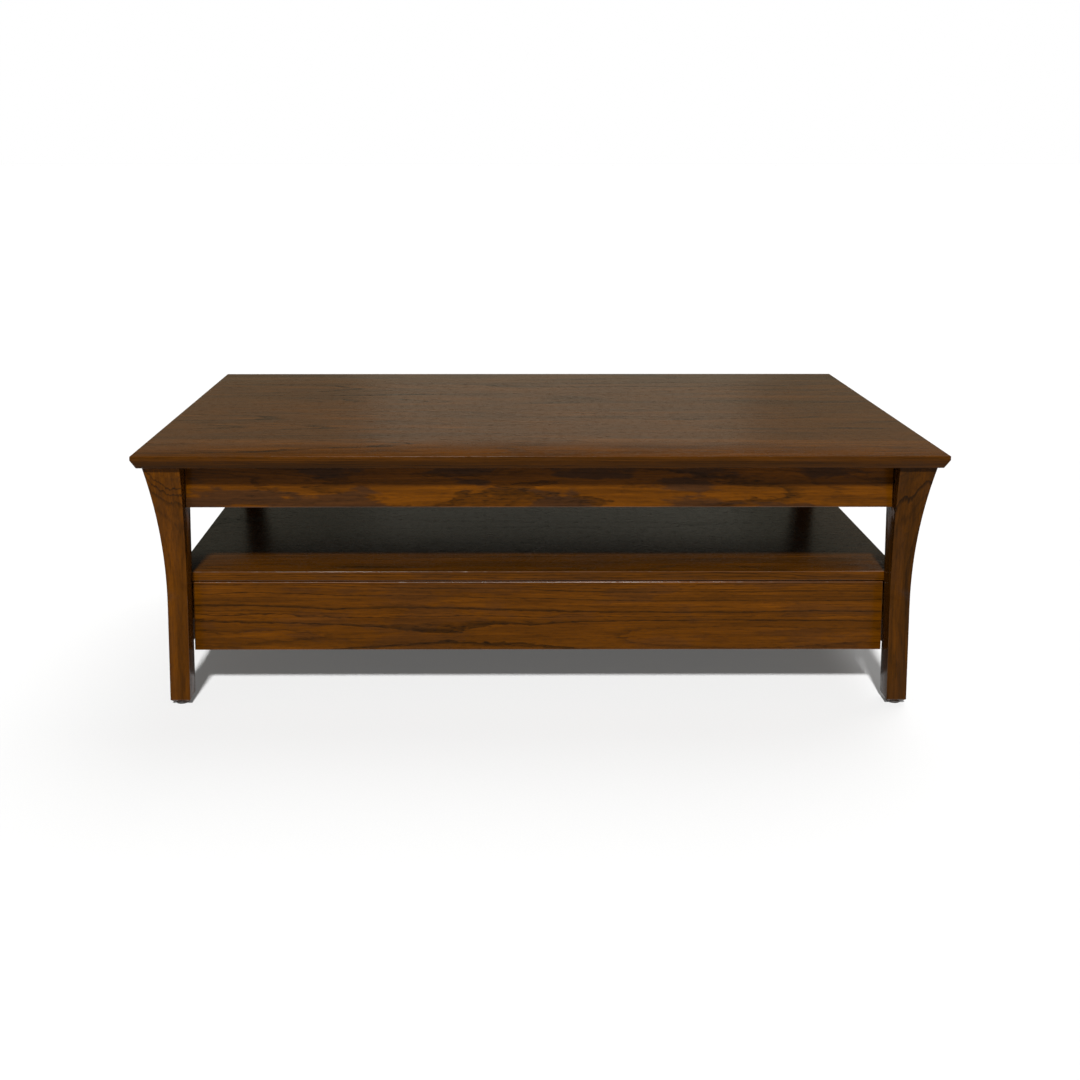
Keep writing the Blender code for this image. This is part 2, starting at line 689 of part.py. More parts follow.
def make_top_channel(side, sx):
    """Folded steel under the top panel, open below."""
    top = TOP_UNDERSIDE - FIT
    bottom = TOP_PIVOT_Z - ARM_WIDTH / 2
    outer, inner, sheet = CHANNEL_X, CHANNEL_INNER_X, CHANNEL_SHEET
    points = [
        (inner, bottom), (inner, top), (outer, top), (outer, bottom),
        (outer - sheet, bottom), (outer - sheet, top - sheet),
        (inner + sheet, top - sheet), (inner + sheet, bottom),
    ]
    outline = [(sx * x, z) for x, z in points]
    start, end = TOP_PIVOT_Y - CHANNEL_NOSE, REAR_TOP_PIVOT_Y + CHANNEL_TAIL
    channel = plate(f"top_channel_{side}", "Y", [outline], start, end, BLACK_STEEL)
    hole, wall = PIN_RADIUS + FIT, 3 * CHANNEL_SHEET
    bore(channel, "X", (sx * inner, TOP_PIVOT_Y, TOP_PIVOT_Z), hole, 2 * wall)
    bore(channel, "X", (sx * outer, REAR_TOP_PIVOT_Y, TOP_PIVOT_Z), hole, 2 * wall)
    return channel


def make_pin(name, sx, start, end, y, z, radius=PIN_RADIUS, head=PIN_HEAD):
    """A pin with a round head at its start, running to its end along X."""
    length = abs(end - start)
    flip = 1 if end < start else -1
    profile = [
        (0, PIN_HEAD_THICK), (head, PIN_HEAD_THICK), (head, 0), (radius, 0),
        (radius, -length), (0, -length),
    ]
    pin = turned(name, profile, "X", (sx * start, y, z), ZINC)
    if sx * flip < 0:
        pin.matrix_world = pin.matrix_world @ Matrix.Rotation(math.pi, 4, "X")
    return pin


def make_spring(side, sx):
    """A torsion spring round the cross tube, its legs on the base channel and on the front arm."""
    radius = TUBE_RADIUS + PIVOT_CLEARANCE + SPRING_WIRE
    start_x = FRONT_ARM_X + ARM_THICK + SPRING_WIRE / 2 + FIT
    first = CLOSED_ANGLE - math.pi / 2
    steps = SPRING_TURNS * SPRING_STEPS + SPRING_STEPS // 2
    points = []
    leg_way = Vector((math.cos(CLOSED_ANGLE), math.sin(CLOSED_ANGLE)))
    root = radius * Vector((math.cos(first), math.sin(first)))
    tip = root + SPRING_LEG * leg_way
    points.append((sx * start_x, PIVOT_Y + tip.x, PIVOT_Z + tip.y))
    for step in range(steps + 1):
        turn = first - 2 * math.pi * step / SPRING_STEPS
        x = start_x + SPRING_PITCH * step / SPRING_STEPS
        points.append(
            (sx * x, PIVOT_Y + radius * math.cos(turn), PIVOT_Z + radius * math.sin(turn))
        )
    last = first - 2 * math.pi * steps / SPRING_STEPS
    way = Vector((math.sin(last), -math.cos(last)))
    end = radius * Vector((math.cos(last), math.sin(last))) + SPRING_LEG * way
    points.append((sx * x, PIVOT_Y + end.x, PIVOT_Z + end.y))
    curve = bpy.data.curves.new(f"lift_spring_{side}", "CURVE")
    curve.dimensions = "3D"
    curve.bevel_depth = SPRING_WIRE / 2
    curve.bevel_resolution = 2
    curve.use_fill_caps = True
    spline = curve.splines.new("POLY")
    spline.points.add(len(points) - 1)
    for point, place in zip(spline.points, points):
        point.co = (*place, 1.0)
    add(f"lift_spring_{side}", curve, SPRING_STEEL)


def make_bush(side, sx):
    """A nylon bush in the inner wall, with its flange on the outside of the channel."""
    inner, outer = TUBE_RADIUS + PIVOT_CLEARANCE, TUBE_RADIUS + PIVOT_CLEARANCE + BUSH_WALL
    flange = outer + BUSH_FLANGE
    face = -FIT
    profile = [
        (inner, CHANNEL_SHEET), (outer, CHANNEL_SHEET), (outer, face), (flange, face),
        (flange, face - BUSH_WALL), (inner, face - BUSH_WALL),
    ]
    centre = (sx * CHANNEL_INNER_X, PIVOT_Y, PIVOT_Z)
    bush = turned(f"pivot_bush_{side}", profile, "X", centre, NYLON, closed=True)
    if sx < 0:
        bush.matrix_world = bush.matrix_world @ Matrix.Rotation(math.pi, 4, "X")


def make_cross_tube():
    """The tube that carries both front arms, so that both ends of the top rise together."""
    half = CHANNEL_X
    inner = TUBE_RADIUS - TUBE_WALL
    profile = [(TUBE_RADIUS, half), (TUBE_RADIUS, -half), (inner, -half), (inner, half)]
    centre = (0, PIVOT_Y, PIVOT_Z)
    return turned("cross_tube", profile, "X", centre, BLACK_STEEL, closed=True)


front_arms = [make_cross_tube()]
lid_pieces = []
for side_name, x_sign in SIDES.items():
    make_base_channel(side_name, x_sign)
    make_bush(side_name, x_sign)
    make_spring(side_name, x_sign)
    stop_y, stop_z = stop_place()
    make_pin(
        f"arm_stop_{side_name}", x_sign, CHANNEL_INNER_X - FIT, FRONT_ARM_X + ARM_THICK,
        stop_y, stop_z, radius=STOP_RADIUS, head=STOP_RADIUS + 0.002,
    )
    pin_end = REAR_ARM_X - 0.001
    make_pin(f"rear_pivot_pin_{side_name}", x_sign, pin_end, CHANNEL_X, REAR_PIVOT_Y, PIVOT_Z)
    front_arms.append(
        make_arm(
            f"front_arm_{side_name}", FRONT_ARM_X, x_sign, PIVOT_Y,
            TUBE_RADIUS + FIT, PIN_RADIUS + PIVOT_CLEARANCE,
        )
    )
    rear_arm = make_arm(
        f"rear_arm_{side_name}", REAR_ARM_X, x_sign, REAR_PIVOT_Y,
        PIN_RADIUS + PIVOT_CLEARANCE, PIN_RADIUS + PIVOT_CLEARANCE,
    )
    hang(f"rear_arm_{side_name}_axis", (x_sign * REAR_ARM_X, REAR_PIVOT_Y, PIVOT_Z), [rear_arm])
    lid_pieces.append(make_top_channel(side_name, x_sign))
    arm_face = FRONT_ARM_X + ARM_THICK + 0.001
    lid_pieces.append(
        make_pin(
            f"front_top_pin_{side_name}", x_sign, arm_face, CHANNEL_INNER_X, TOP_PIVOT_Y,
            TOP_PIVOT_Z,
        )
    )
    lid_pieces.append(
        make_pin(
            f"rear_top_pin_{side_name}", x_sign, pin_end, CHANNEL_X, REAR_TOP_PIVOT_Y,
            TOP_PIVOT_Z,
        )
    )
hang("lift_axis", (0, PIVOT_Y, PIVOT_Z), front_arms)


# Top ----------------------------------------------------------------------------------------------
def make_top():
    """The top panel, upright at its upper edge and bevelled in below."""
    mesh = bpy.data.meshes.new("top_panel")
    bm = bmesh.new()
    size = (TOP_LENGTH, TOP_DEPTH, TOP_THICK)
    bmesh.ops.create_cube(bm, size=1.0, matrix=Matrix.Diagonal((*size, 1.0)))
    walls = [face for face in bm.faces if abs(face.normal.z) < 0.5]
    upright = {edge for face in walls for edge in face.edges}
    upright = [e for e in upright if abs(e.verts[0].co.z - e.verts[1].co.z) > TOP_THICK / 2]
    bmesh.ops.subdivide_edges(bm, edges=upright, cuts=1)
    for vert in bm.verts:
        if abs(vert.co.z) < TOP_THICK / 4:
            vert.co.z = TOP_THICK / 2 - TOP_EDGE_FLAT
        elif vert.co.z < 0:
            vert.co.x -= math.copysign(TOP_UNDER_BEVEL, vert.co.x)
            vert.co.y -= math.copysign(TOP_UNDER_BEVEL, vert.co.y)
    bm.to_mesh(mesh)
    bm.free()
    top = add("top_panel", mesh, OAK)
    top.location = (0, 0, TOP_HEIGHT - TOP_THICK / 2)
    return top


lid_pieces.append(make_top())
hang("top_level_axis", (0, TOP_PIVOT_Y, TOP_PIVOT_Z), lid_pieces)
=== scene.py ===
"""Finishes a lift top coffee table of dark-stained oak with a steel lift mechanism.

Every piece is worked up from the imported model: boards get their eased arrises and their own cut of
oak, sheet steel gets its folds, and turned parts, springs, ball rows and screws are made at full
detail. Lengths are metres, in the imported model's frame.
"""

import math
import random

import bmesh
import bpy
from mathutils import Matrix, Vector


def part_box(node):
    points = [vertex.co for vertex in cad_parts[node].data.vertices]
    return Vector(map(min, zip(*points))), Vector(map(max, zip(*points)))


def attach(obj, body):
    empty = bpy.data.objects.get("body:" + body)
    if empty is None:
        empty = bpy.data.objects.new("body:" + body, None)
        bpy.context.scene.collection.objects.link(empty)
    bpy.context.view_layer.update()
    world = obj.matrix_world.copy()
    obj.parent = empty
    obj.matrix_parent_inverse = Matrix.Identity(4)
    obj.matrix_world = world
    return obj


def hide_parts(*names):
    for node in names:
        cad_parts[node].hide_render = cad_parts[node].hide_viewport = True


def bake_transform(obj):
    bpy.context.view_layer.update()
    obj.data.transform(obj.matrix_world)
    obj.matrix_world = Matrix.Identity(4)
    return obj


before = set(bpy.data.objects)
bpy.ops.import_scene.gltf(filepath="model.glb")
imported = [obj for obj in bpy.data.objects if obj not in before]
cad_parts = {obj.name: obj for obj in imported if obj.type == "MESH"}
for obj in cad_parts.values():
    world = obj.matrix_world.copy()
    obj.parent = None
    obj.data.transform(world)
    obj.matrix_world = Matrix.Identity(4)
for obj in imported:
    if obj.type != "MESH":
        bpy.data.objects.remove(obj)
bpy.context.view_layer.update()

# Which way each lies from the table's middle: along X, and along X and Y.
SIDES = {"left": -1, "right": 1}
CORNERS = {
    "front_left": (-1, -1),
    "front_right": (1, -1),
    "back_left": (-1, 1),
    "back_right": (1, 1),
}


# Camera and lamps ---------------------------------------------------------------------------------
SENSOR = 36.0  # mm across
LENS = 38.662  # mm
SHIFT = (0.038, -0.25)  # to the right and up, in frame widths
SIGHT = 200.0  # how far the camera sees, which is past the floor's far edge
CAMERA_AT = (-0.0682, -2.0818, 0.8946)
CAMERA_DIP = 5.968  # degrees below level
CAMERA_TURN = -0.132  # degrees from straight ahead, to the right where it is negative


def link(name, data):
    """A new object in the scene."""
    made = bpy.data.objects.new(name, data)
    bpy.context.scene.collection.objects.link(made)
    return made


def make_camera():
    """Stands in front of the table, higher than its top, and looks a little down."""
    data = bpy.data.cameras.new("camera")
    data.sensor_width = SENSOR
    data.lens = LENS
    data.shift_x, data.shift_y = SHIFT
    data.clip_end = SIGHT
    camera = link("camera", data)
    camera.location = CAMERA_AT
    camera.rotation_euler = (math.radians(90 - CAMERA_DIP), 0, math.radians(CAMERA_TURN))
    bpy.context.scene.camera = camera


def make_lamp(name, strength, width, azimuth, elevation):
    """A studio lamp far off, which looks width degrees wide from the table.

    Azimuth 0 is in front of the table, and 90 is off its right end.
    """
    data = bpy.data.lights.new(name, "SUN")
    data.energy = strength
    data.angle = math.radians(width)
    turn, rise = math.radians(azimuth), math.radians(elevation)
    level = math.cos(rise)
    way = Vector((math.sin(turn) * level, -math.cos(turn) * level, math.sin(rise)))
    link(name, data).rotation_euler = way.to_track_quat("Z", "Y").to_euler()


# Nodes --------------------------------------------------------------------------------------------
MATH = "ShaderNodeMath"
MIX = "ShaderNodeMix"
RANGE = "ShaderNodeMapRange"
NOISE = "ShaderNodeTexNoise"
EASED = {"interpolation_type": "SMOOTHSTEP"}
COLOURS = {"data_type": "RGBA", "out": 2}


def colour(code):
    """An sRGB hex colour as linear RGBA."""
    parts = [int(code[i : i + 2], 16) / 255 for i in (1, 3, 5)]
    return (*[c / 12.92 if c <= 0.04045 else ((c + 0.055) / 1.055) ** 2.4 for c in parts], 1.0)


def add(tree, kind, inputs=(), out=0, stops=(), **settings):
    """Adds a node and gives back one of its outputs.

    Inputs are by place or by name, each a value or the socket that it is linked from. Stops are a
    colour ramp's places and colours.
    """
    node = tree.nodes.new(kind)
    for name, value in settings.items():
        setattr(node, name, value)
    for key, value in inputs.items() if isinstance(inputs, dict) else enumerate(inputs):
        if isinstance(value, bpy.types.NodeSocket):
            tree.links.new(value, node.inputs[key])
        else:
            node.inputs[key].default_value = value
    for place, _ in stops[1:-1]:
        node.color_ramp.elements.new(place)
    for number, (place, code) in enumerate(stops):
        node.color_ramp.elements[number].position = place
        node.color_ramp.elements[number].color = colour(code)
    return node.outputs[out] if len(node.outputs) else node


def new_material(name, **fixed):
    """A material, its tree, and its shader with the values that are the same all over."""
    material = bpy.data.materials.new(name)
    material.use_nodes = True
    shader = material.node_tree.nodes["Principled BSDF"]
    for key, value in fixed.items():
        shader.inputs[key.replace("_", " ")].default_value = value
    return material, material.node_tree, shader


def dress(tree, shader, base, roughness=None, height=None, depth=0.0):
    """Links a shader's colour, its roughness, and its height, where 1 stands depth metres up."""
    tree.links.new(base, shader.inputs["Base Color"])
    if roughness is not None:
        tree.links.new(roughness, shader.inputs["Roughness"])
    if height is not None:
        raised = add(tree, "ShaderNodeBump", {"Height": height, "Distance": depth})
        tree.links.new(raised, shader.inputs["Normal"])


def streaks(tree, at, long_mm, wide_mm, detail=2.0, roughness=0.5):
    """Noise whose features are long_mm along the first axis and wide_mm across it."""
    scale = (1000 / long_mm, 1000 / wide_mm, 1000 / wide_mm)
    at = add(tree, "ShaderNodeMapping", {"Vector": at, "Scale": scale})
    return add(tree, NOISE, {"Vector": at, "Scale": 1.0, "Detail": detail, "Roughness": roughness})


def specks(tree, size_mm, detail=2.0):
    """Noise with features of one size all ways, fixed to the piece."""
    at = add(tree, "ShaderNodeTexCoord", out="Object")
    return streaks(tree, at, size_mm, size_mm, detail)


# Wood ---------------------------------------------------------------------------------------------
RING = 0.0042  # one year's growth
TAPER = 0.011  # how far a board runs out through the rings, for each metre
WANDER = (  # how long and how wide the rings' bends are in mm, and how far they swing in metres
    (900, 110, 0.012),
    (170, 24, 0.0018),
    (20, 5, 0.0006),
)
SEASONS = 2.2  # how far runs of good and bad years shift the rings, in rings
SPRING_ENDS, SPRING_STARTS = 0.36, 0.93  # as parts of a year's growth


def growth_rings(tree, grain):
    """How dark each point's spring wood is, from 0 to 1, as some years are fainter than others.

    The rings are shells round the pith, wandering and tapering, so a board shows arches where its
    face meets them flat, straight lines near its edges, and arcs on its ends.
    """
    round_pith = add(tree, "ShaderNodeVectorMath", (grain, (0, 1, 1)), operation="MULTIPLY")
    reach = add(tree, "ShaderNodeVectorMath", (round_pith,), out="Value", operation="LENGTH")
    along = add(tree, "ShaderNodeSeparateXYZ", (grain,))
    radius = add(tree, MATH, (along, TAPER, reach), operation="MULTIPLY_ADD")
    for long_mm, wide_mm, swing in WANDER:
        wander = streaks(tree, grain, long_mm, wide_mm, 1.0)
        wander = add(tree, RANGE, (wander, 0.2, 0.8, -swing, swing))
        radius = add(tree, MATH, (radius, wander), operation="ADD")
    years = add(tree, MATH, (radius, RING), operation="DIVIDE")
    seasons = add(tree, NOISE, {"W": years, "Scale": 0.37, "Detail": 1.0}, noise_dimensions="1D")
    years = add(tree, MATH, (seasons, SEASONS, years), operation="MULTIPLY_ADD")
    part = add(tree, MATH, (years,), operation="FRACT")
    spring = add(tree, RANGE, (part, 0.0, SPRING_ENDS, 1.0, 0.0), **EASED)
    start = add(tree, RANGE, (part, SPRING_STARTS, 1.0, 0.0, 1.0), **EASED)
    spring = add(tree, MATH, (spring, start), operation="MAXIMUM")
    vigour = add(tree, NOISE, {"W": years, "Scale": 0.83, "Detail": 0.0}, noise_dimensions="1D")
    vigour = add(tree, RANGE, (vigour, 0.38, 0.66, 0.15, 1.0), **EASED)
    return add(tree, MATH, (spring, vigour), operation="MULTIPLY")


# From where the wood took the most stain to where it took the least.
WALNUT = (
    (0.0, "#120801"), (0.35, "#2b1601"), (0.60, "#3f2101"), (0.85, "#593001"), (1.0, "#703f02"),
)
STAIN_CLOUD = "#2a190c"  # where the stain clouded over the grain
STAIN_IN_PORES = "#130801"
# lighter colour for the arrises: partly stain rubbed thin, partly a painted highlight
ARRIS_WEAR_AND_HIGHLIGHT = "#4a2806"
# A point's place in that range: where it starts, and what a pale band and spring wood add to it.
TONE, BAND_TONE, SPRING_TONE = 0.49, 0.28, -0.34
CLOUD_EDGE = (0.50, 0.57)  # how sharply a cloud of stain ends
FIBRE_SHADE = (0.64, 1.36)  # how far fibres darken and lighten the wood


def stained_oak(name, ior, glossy, dull):
    """Oak under a dark walnut stain and a satin lacquer.

    The stain sinks into the open spring wood, which shows as dark dashed lines between warmer
    summer wood. The arrises are painted lighter, partly stain rubbed thin and partly a painted
    highlight. The lacquer film shows mostly at a low angle.
    """
    material, tree, shader = new_material(name, IOR=ior)
    grain = add(tree, "ShaderNodeAttribute", out="Vector", attribute_name="grain_at")
    arris = add(tree, "ShaderNodeAttribute", out="Fac", attribute_name="arris")
    stain_and_painted_light = add(tree, "ShaderNodeAttribute", out="Fac", attribute_name="stain_and_painted_light")
    smoky = add(tree, "ShaderNodeAttribute", out="Fac", attribute_name="smoky")
    spring = growth_rings(tree, grain)
    # Pores are 0.2 mm wide, and drawn at 1.3 mm so that they show.
    pores = streaks(tree, grain, long_mm=13, wide_mm=1.3)
    pores = add(tree, RANGE, (pores, 0.53, 0.64), **EASED)
    opened = add(tree, RANGE, (spring, 0.0, 0.8, 0.26, 0.85))
    pores = add(tree, MATH, (pores, opened), operation="MULTIPLY")
    # The stain varies in streaks along the fibre, in bands a finger wide, and in cloudy patches.
    fibre = streaks(tree, grain, long_mm=85, wide_mm=3.6, detail=6.0, roughness=0.66)
    bands = streaks(tree, grain, long_mm=380, wide_mm=15, detail=4.0, roughness=0.6)
    bands = add(tree, RANGE, (bands, 0.25, 0.75))
    patches = streaks(tree, grain, long_mm=150, wide_mm=34, detail=5.0, roughness=0.58)
    tone = add(tree, MATH, (bands, BAND_TONE, TONE), operation="MULTIPLY_ADD")
    tone = add(tree, MATH, (spring, SPRING_TONE, tone), operation="MULTIPLY_ADD")
    # Each face is darkened by stain, and on the top, shelf and right front leg partly by painted
    # light.
    tone = add(tree, MATH, (tone, stain_and_painted_light), operation="SUBTRACT")
    wood = add(tree, "ShaderNodeValToRGB", (tone,), stops=WALNUT)
    patches = add(tree, RANGE, (patches, *CLOUD_EDGE), **EASED)
    smoke = add(tree, MATH, (patches, smoky), operation="MULTIPLY")
    wood = add(tree, MIX, {0: smoke, 6: wood, 7: colour(STAIN_CLOUD)}, **COLOURS)
    wood = add(tree, MIX, {0: pores, 6: wood, 7: colour(STAIN_IN_PORES)}, **COLOURS)
    sheen = add(tree, RANGE, (fibre, 0.25, 0.75, *FIBRE_SHADE))
    wood = add(tree, MIX, {0: 1.0, 6: wood, 7: sheen}, blend_type="MULTIPLY", **COLOURS)
    # The arrises are painted lighter: partly stain rubbed thin, partly a painted highlight.
    worn_and_lit_arris = add(tree, MATH, (arris, 0.3), operation="MULTIPLY")
    wood = add(tree, MIX, {0: worn_and_lit_arris, 6: wood, 7: colour(ARRIS_WEAR_AND_HIGHLIGHT)}, **COLOURS)
    gloss = add(tree, RANGE, (fibre, 0.2, 0.8, glossy, dull))
    gloss = add(tree, MATH, (pores, 0.3, gloss), operation="MULTIPLY_ADD")
    fibres = add(tree, MATH, (fibre, 0.35), operation="MULTIPLY")
    height = add(tree, MATH, (pores, -0.7, fibres), operation="MULTIPLY_ADD")
    dress(tree, shader, wood, gloss, height, 0.00016)
    return material


def plain_wood(name, pale, deep, roughness):
    """A bare or thinly sealed wood of even texture, with faint growth lines and short flecks.

    Its vessels are about 0.1 mm wide, and the flecks are drawn at 0.6 mm so that they show.
    """
    material, tree, shader = new_material(name)
    grain = add(tree, "ShaderNodeAttribute", out="Vector", attribute_name="grain_at")
    rings = add(tree, RANGE, (growth_rings(tree, grain), 0.0, 1.0, 0.15, 0.75))
    fibre = streaks(tree, grain, long_mm=40, wide_mm=0.9, detail=4.0, roughness=0.6)
    flecks = streaks(tree, grain, long_mm=5, wide_mm=0.6, detail=1.0)
    flecks = add(tree, RANGE, (flecks, 0.60, 0.70, 0.0, 0.35), **EASED)
    wood = add(tree, MIX, {0: rings, 6: colour(pale), 7: colour(deep)}, **COLOURS)
    wood = add(tree, MIX, {0: flecks, 6: wood, 7: colour(deep)}, **COLOURS)
    sheen = add(tree, RANGE, (fibre, 0.2, 0.8, 0.82, 1.15))
    wood = add(tree, MIX, {0: 1.0, 6: wood, 7: sheen}, blend_type="MULTIPLY", **COLOURS)
    gloss = add(tree, RANGE, (fibre, 0.2, 0.8, roughness - 0.08, roughness + 0.08))
    dress(tree, shader, wood, gloss, fibre, 0.00012)
    return material


# Metals, plastics and rubber ----------------------------------------------------------------------
def powder_coat():
    """Black powder coat on mild steel: orange peel about a millimetre across, dull, not quite even.

    It hides every mark that cutting and folding leave in the sheet.
    """
    material, tree, shader = new_material("black_powder_coat")
    cloud = specks(tree, 35, 3.0)
    base = add(tree, MIX, {0: cloud, 6: colour("#161718"), 7: colour("#262728")}, **COLOURS)
    gloss = add(tree, RANGE, (cloud, 0.2, 0.8, 0.38, 0.54))
    dress(tree, shader, base, gloss, specks(tree, 1.1), 0.00008)
    return material


def metal(name, pale, deep, glossy, dull, long_mm, wide_mm):
    """Bare or plated metal, with the fine lines that rolling, turning or drawing leaves."""
    material, tree, shader = new_material(name, Metallic=1.0)
    at = add(tree, "ShaderNodeTexCoord", out="Object")
    lines = streaks(tree, at, long_mm, wide_mm, 3.0)
    base = add(tree, MIX, {0: specks(tree, 14, 3.0), 6: colour(pale), 7: colour(deep)}, **COLOURS)
    gloss = add(tree, RANGE, (lines, 0.25, 0.75, glossy, dull))
    dress(tree, shader, base, gloss, lines, 0.00002)
    return material


def moulded(name, pale, deep, roughness, texture_mm, depth):
    """Plastic or rubber with the even texture of its mould.

    The texture is about 0.1 mm across on the real part, and is drawn coarser so that it shows.
    """
    material, tree, shader = new_material(name)
    texture = specks(tree, texture_mm, 1.0)
    base = add(tree, MIX, {0: specks(tree, 9, 3.0), 6: colour(pale), 7: colour(deep)}, **COLOURS)
    gloss = add(tree, RANGE, (texture, 0.2, 0.8, roughness - 0.06, roughness + 0.06))
    dress(tree, shader, base, gloss, texture, depth)
    return material


PAPER_GLOW = 0.10  # the light that comes up through the sheet


def paper_sweep():
    """Matt white studio paper, with its tooth as faint specks."""
    material, tree, shader = new_material("white_paper", Roughness=1.0, Specular_IOR_Level=0.0)
    tooth = specks(tree, 3)
    base = add(tree, MIX, {0: tooth, 6: colour("#b4b4b4"), 7: colour("#b8b8b8")}, **COLOURS)
    shader.inputs["Emission Color"].default_value = colour("#ffffff")
    shader.inputs["Emission Strength"].default_value = PAPER_GLOW
    dress(tree, shader, base)
    return material


# The lacquer gathers on a rounded edge, so it shines there from any side.
OAK_ARRIS = stained_oak("stained_oak_arris", ior=1.55, glossy=0.24, dull=0.34)

# Slot name in the record: its material.
FINISH = {
    # Planed oak, wiped with walnut stain and sprayed with satin lacquer: deep brown, with a low
    # sheen. Lacquer has an IOR near 1.5, lowered to 1.13 because the faces mirror so little.
    "stained_oak": stained_oak("stained_oak", ior=1.13, glossy=0.15, dull=0.25),
    # Hardwood left as it was sawn, because it is out of sight: light brown, dry and dull.
    "block_wood": plain_wood("sawn_hardwood", "#a97c4d", "#7d5530", roughness=0.7),
    # Birch under one thin coat of clear lacquer: pale, close in the grain and faintly silky.
    "drawer_wood": plain_wood("lacquered_birch", "#b48a58", "#8e6538", roughness=0.55),
    # Plywood under dark stain and matt lacquer: nearly black, with its grain just showing.
    "compartment_panel": plain_wood("stained_plywood", "#30200f", "#1c1006", roughness=0.5),
    # Sheet steel, folded and then powder coated.
    "black_steel": powder_coat(),
    # Rolled steel plated with bright zinc: a cool silver, lined a millimetre apart by the rolls.
    "zinc_steel": metal(
        "bright_zinc_plate", "#b9bdbf", "#9da1a4", glossy=0.25, dull=0.42, long_mm=1.0, wide_mm=60.0
    ),
    # Turned steel plated with zinc: silver, with rings 0.6 mm apart along the shank.
    "pin_steel": metal(
        "turned_zinc_plate", "#a5a6a6", "#8c8d8e", glossy=0.22, dull=0.38, long_mm=0.6, wide_mm=20.0
    ),
    # Drawn spring wire under oil: dark grey and smooth, blotched every 3 mm by the oil.
    "spring_steel": metal(
        "oiled_spring_wire", "#5b5a58", "#403f3e", glossy=0.30, dull=0.42, long_mm=3.0, wide_mm=3.0
    ),
    # Nylon moulded in dark brown, to go unseen under the feet.
    "glide_plastic": moulded(
        "dark_moulded_nylon", "#1f1a17", "#2a2420", roughness=0.5, texture_mm=0.8, depth=0.00004
    ),
    # Nylon moulded in its own milky white, slightly shiny.
    "bush_plastic": moulded(
        "natural_moulded_nylon", "#d8d4c8", "#cbc6b8", roughness=0.42, texture_mm=0.8, depth=0.00003
    ),
    # Soft rubber from a dull mould: dark grey, with hardly a highlight.
    "bumper_rubber": moulded(
        "moulded_rubber", "#3a3a3c", "#2e2e30", roughness=0.7, texture_mm=0.6, depth=0.00005
    ),
}


# Making pieces ------------------------------------------------------------------------------------
def finish_piece(name, mesh, body, slot, replaced=()):
    """Puts a mesh in the scene in its finish, riding on its body, in place of any CAD nodes."""
    piece = link(name, mesh)
    mesh.materials.append(FINISH[slot])
    if slot == "stained_oak":
        mesh.materials.append(OAK_ARRIS)
    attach(piece, body)
    if replaced:
        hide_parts(*replaced)
    return piece


def merged_copy(node):
    """A CAD node's shape as whole flat faces in place of loose triangles."""
    bm = bmesh.new()
    bm.from_mesh(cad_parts[node].data)
    bmesh.ops.remove_doubles(bm, verts=bm.verts, dist=0.00001)
    angle = math.radians(0.5)
    bmesh.ops.dissolve_limit(bm, angle_limit=angle, verts=bm.verts, edges=bm.edges)
    return bm


def made_by(maker):
    """The plain mesh that a curve or a modifier makes, its maker taken out of the scene."""
    depsgraph = bpy.context.evaluated_depsgraph_get()
    mesh = bpy.data.meshes.new_from_object(maker.evaluated_get(depsgraph))
    bpy.data.objects.remove(maker)
    bm = bmesh.new()
    bm.from_mesh(mesh)
    return bm


CORNER_TURN = math.radians(25)  # an edge that turns by more than this is a corner
CRISP = 0.0008  # an arris no rounder than this holds no more lacquer than the faces do


def ease(bm, radius, wanted, segments=4):
    """Rounds the outside corners that wanted picks, and marks the rounding as arris.

    A rounder arris than a crisp one takes the piece's second material.
    """
    arris = bm.faces.layers.float.new("arris")
    edges = [
        e for e in bm.edges
        if e.is_manifold and e.is_convex and e.calc_face_angle() > CORNER_TURN and wanted(e)
    ]
    rounded = bmesh.ops.bevel(
        bm, geom=edges, offset=radius, offset_type="OFFSET", segments=segments, profile=0.5,
        affect="EDGES", clamp_overlap=True,
    )
    for face in rounded["faces"]:
        face[arris] = 1.0
        face.material_index = 1 if radius > CRISP else 0


def smooth_mesh(bm, name, angle=30):
    """The mesh, smooth across its curves and sharp at its corners."""
    bmesh.ops.triangulate(bm, faces=[face for face in bm.faces if len(face.verts) > 4])
    for face in bm.faces:
        face.smooth = True
    mesh = bpy.data.meshes.new(name)
    bm.to_mesh(mesh)
    bm.free()
    mesh.set_sharp_from_angle(angle=math.radians(angle))
    return mesh


# Boards -------------------------------------------------------------------------------------------
# The axes along a board's grain, across its face and through its thickness.
FLAT = (0, 1, 2)
LONG_EDGE_UP = (0, 2, 1)
DEEP_EDGE_UP = (1, 2, 0)
UPRIGHT = (2, 0, 1)
# Where a stave is sawn from its tree: along it, aside of its pith in stave widths, and up from it.
SAWN_ALONG = (3, 60)
SAWN_ASIDE = (-0.3, 0.3)
SAWN_UP = (0.055, 0.12)
STAIN_SPREAD = 0.05  # how far staves differ
STAVE_TONE_AND_PAINTED_LIGHT = {  # how much darker each stave of a board is than the rest: stain, and on some boards painted light
    # the top: partly its own tone, partly a painted reflection, brightest on the front stave
    "top_panel": (0.05, 0.11, 0.10, 0.13, 0.12, 0.15),
    # the shelf: deep all over, painted shade under the top, a little lighter towards the back
    "shelf": (0.20, 0.20, 0.18, 0.18, 0.16),
    # the right front leg: partly its own tone, partly painted shade where the light falls off
    "leg_front_right": (0.22,),
    "leg_front_left": (0.03,),
    "apron_front": (-0.06,),
    "drawer_front": (0.02,),
}
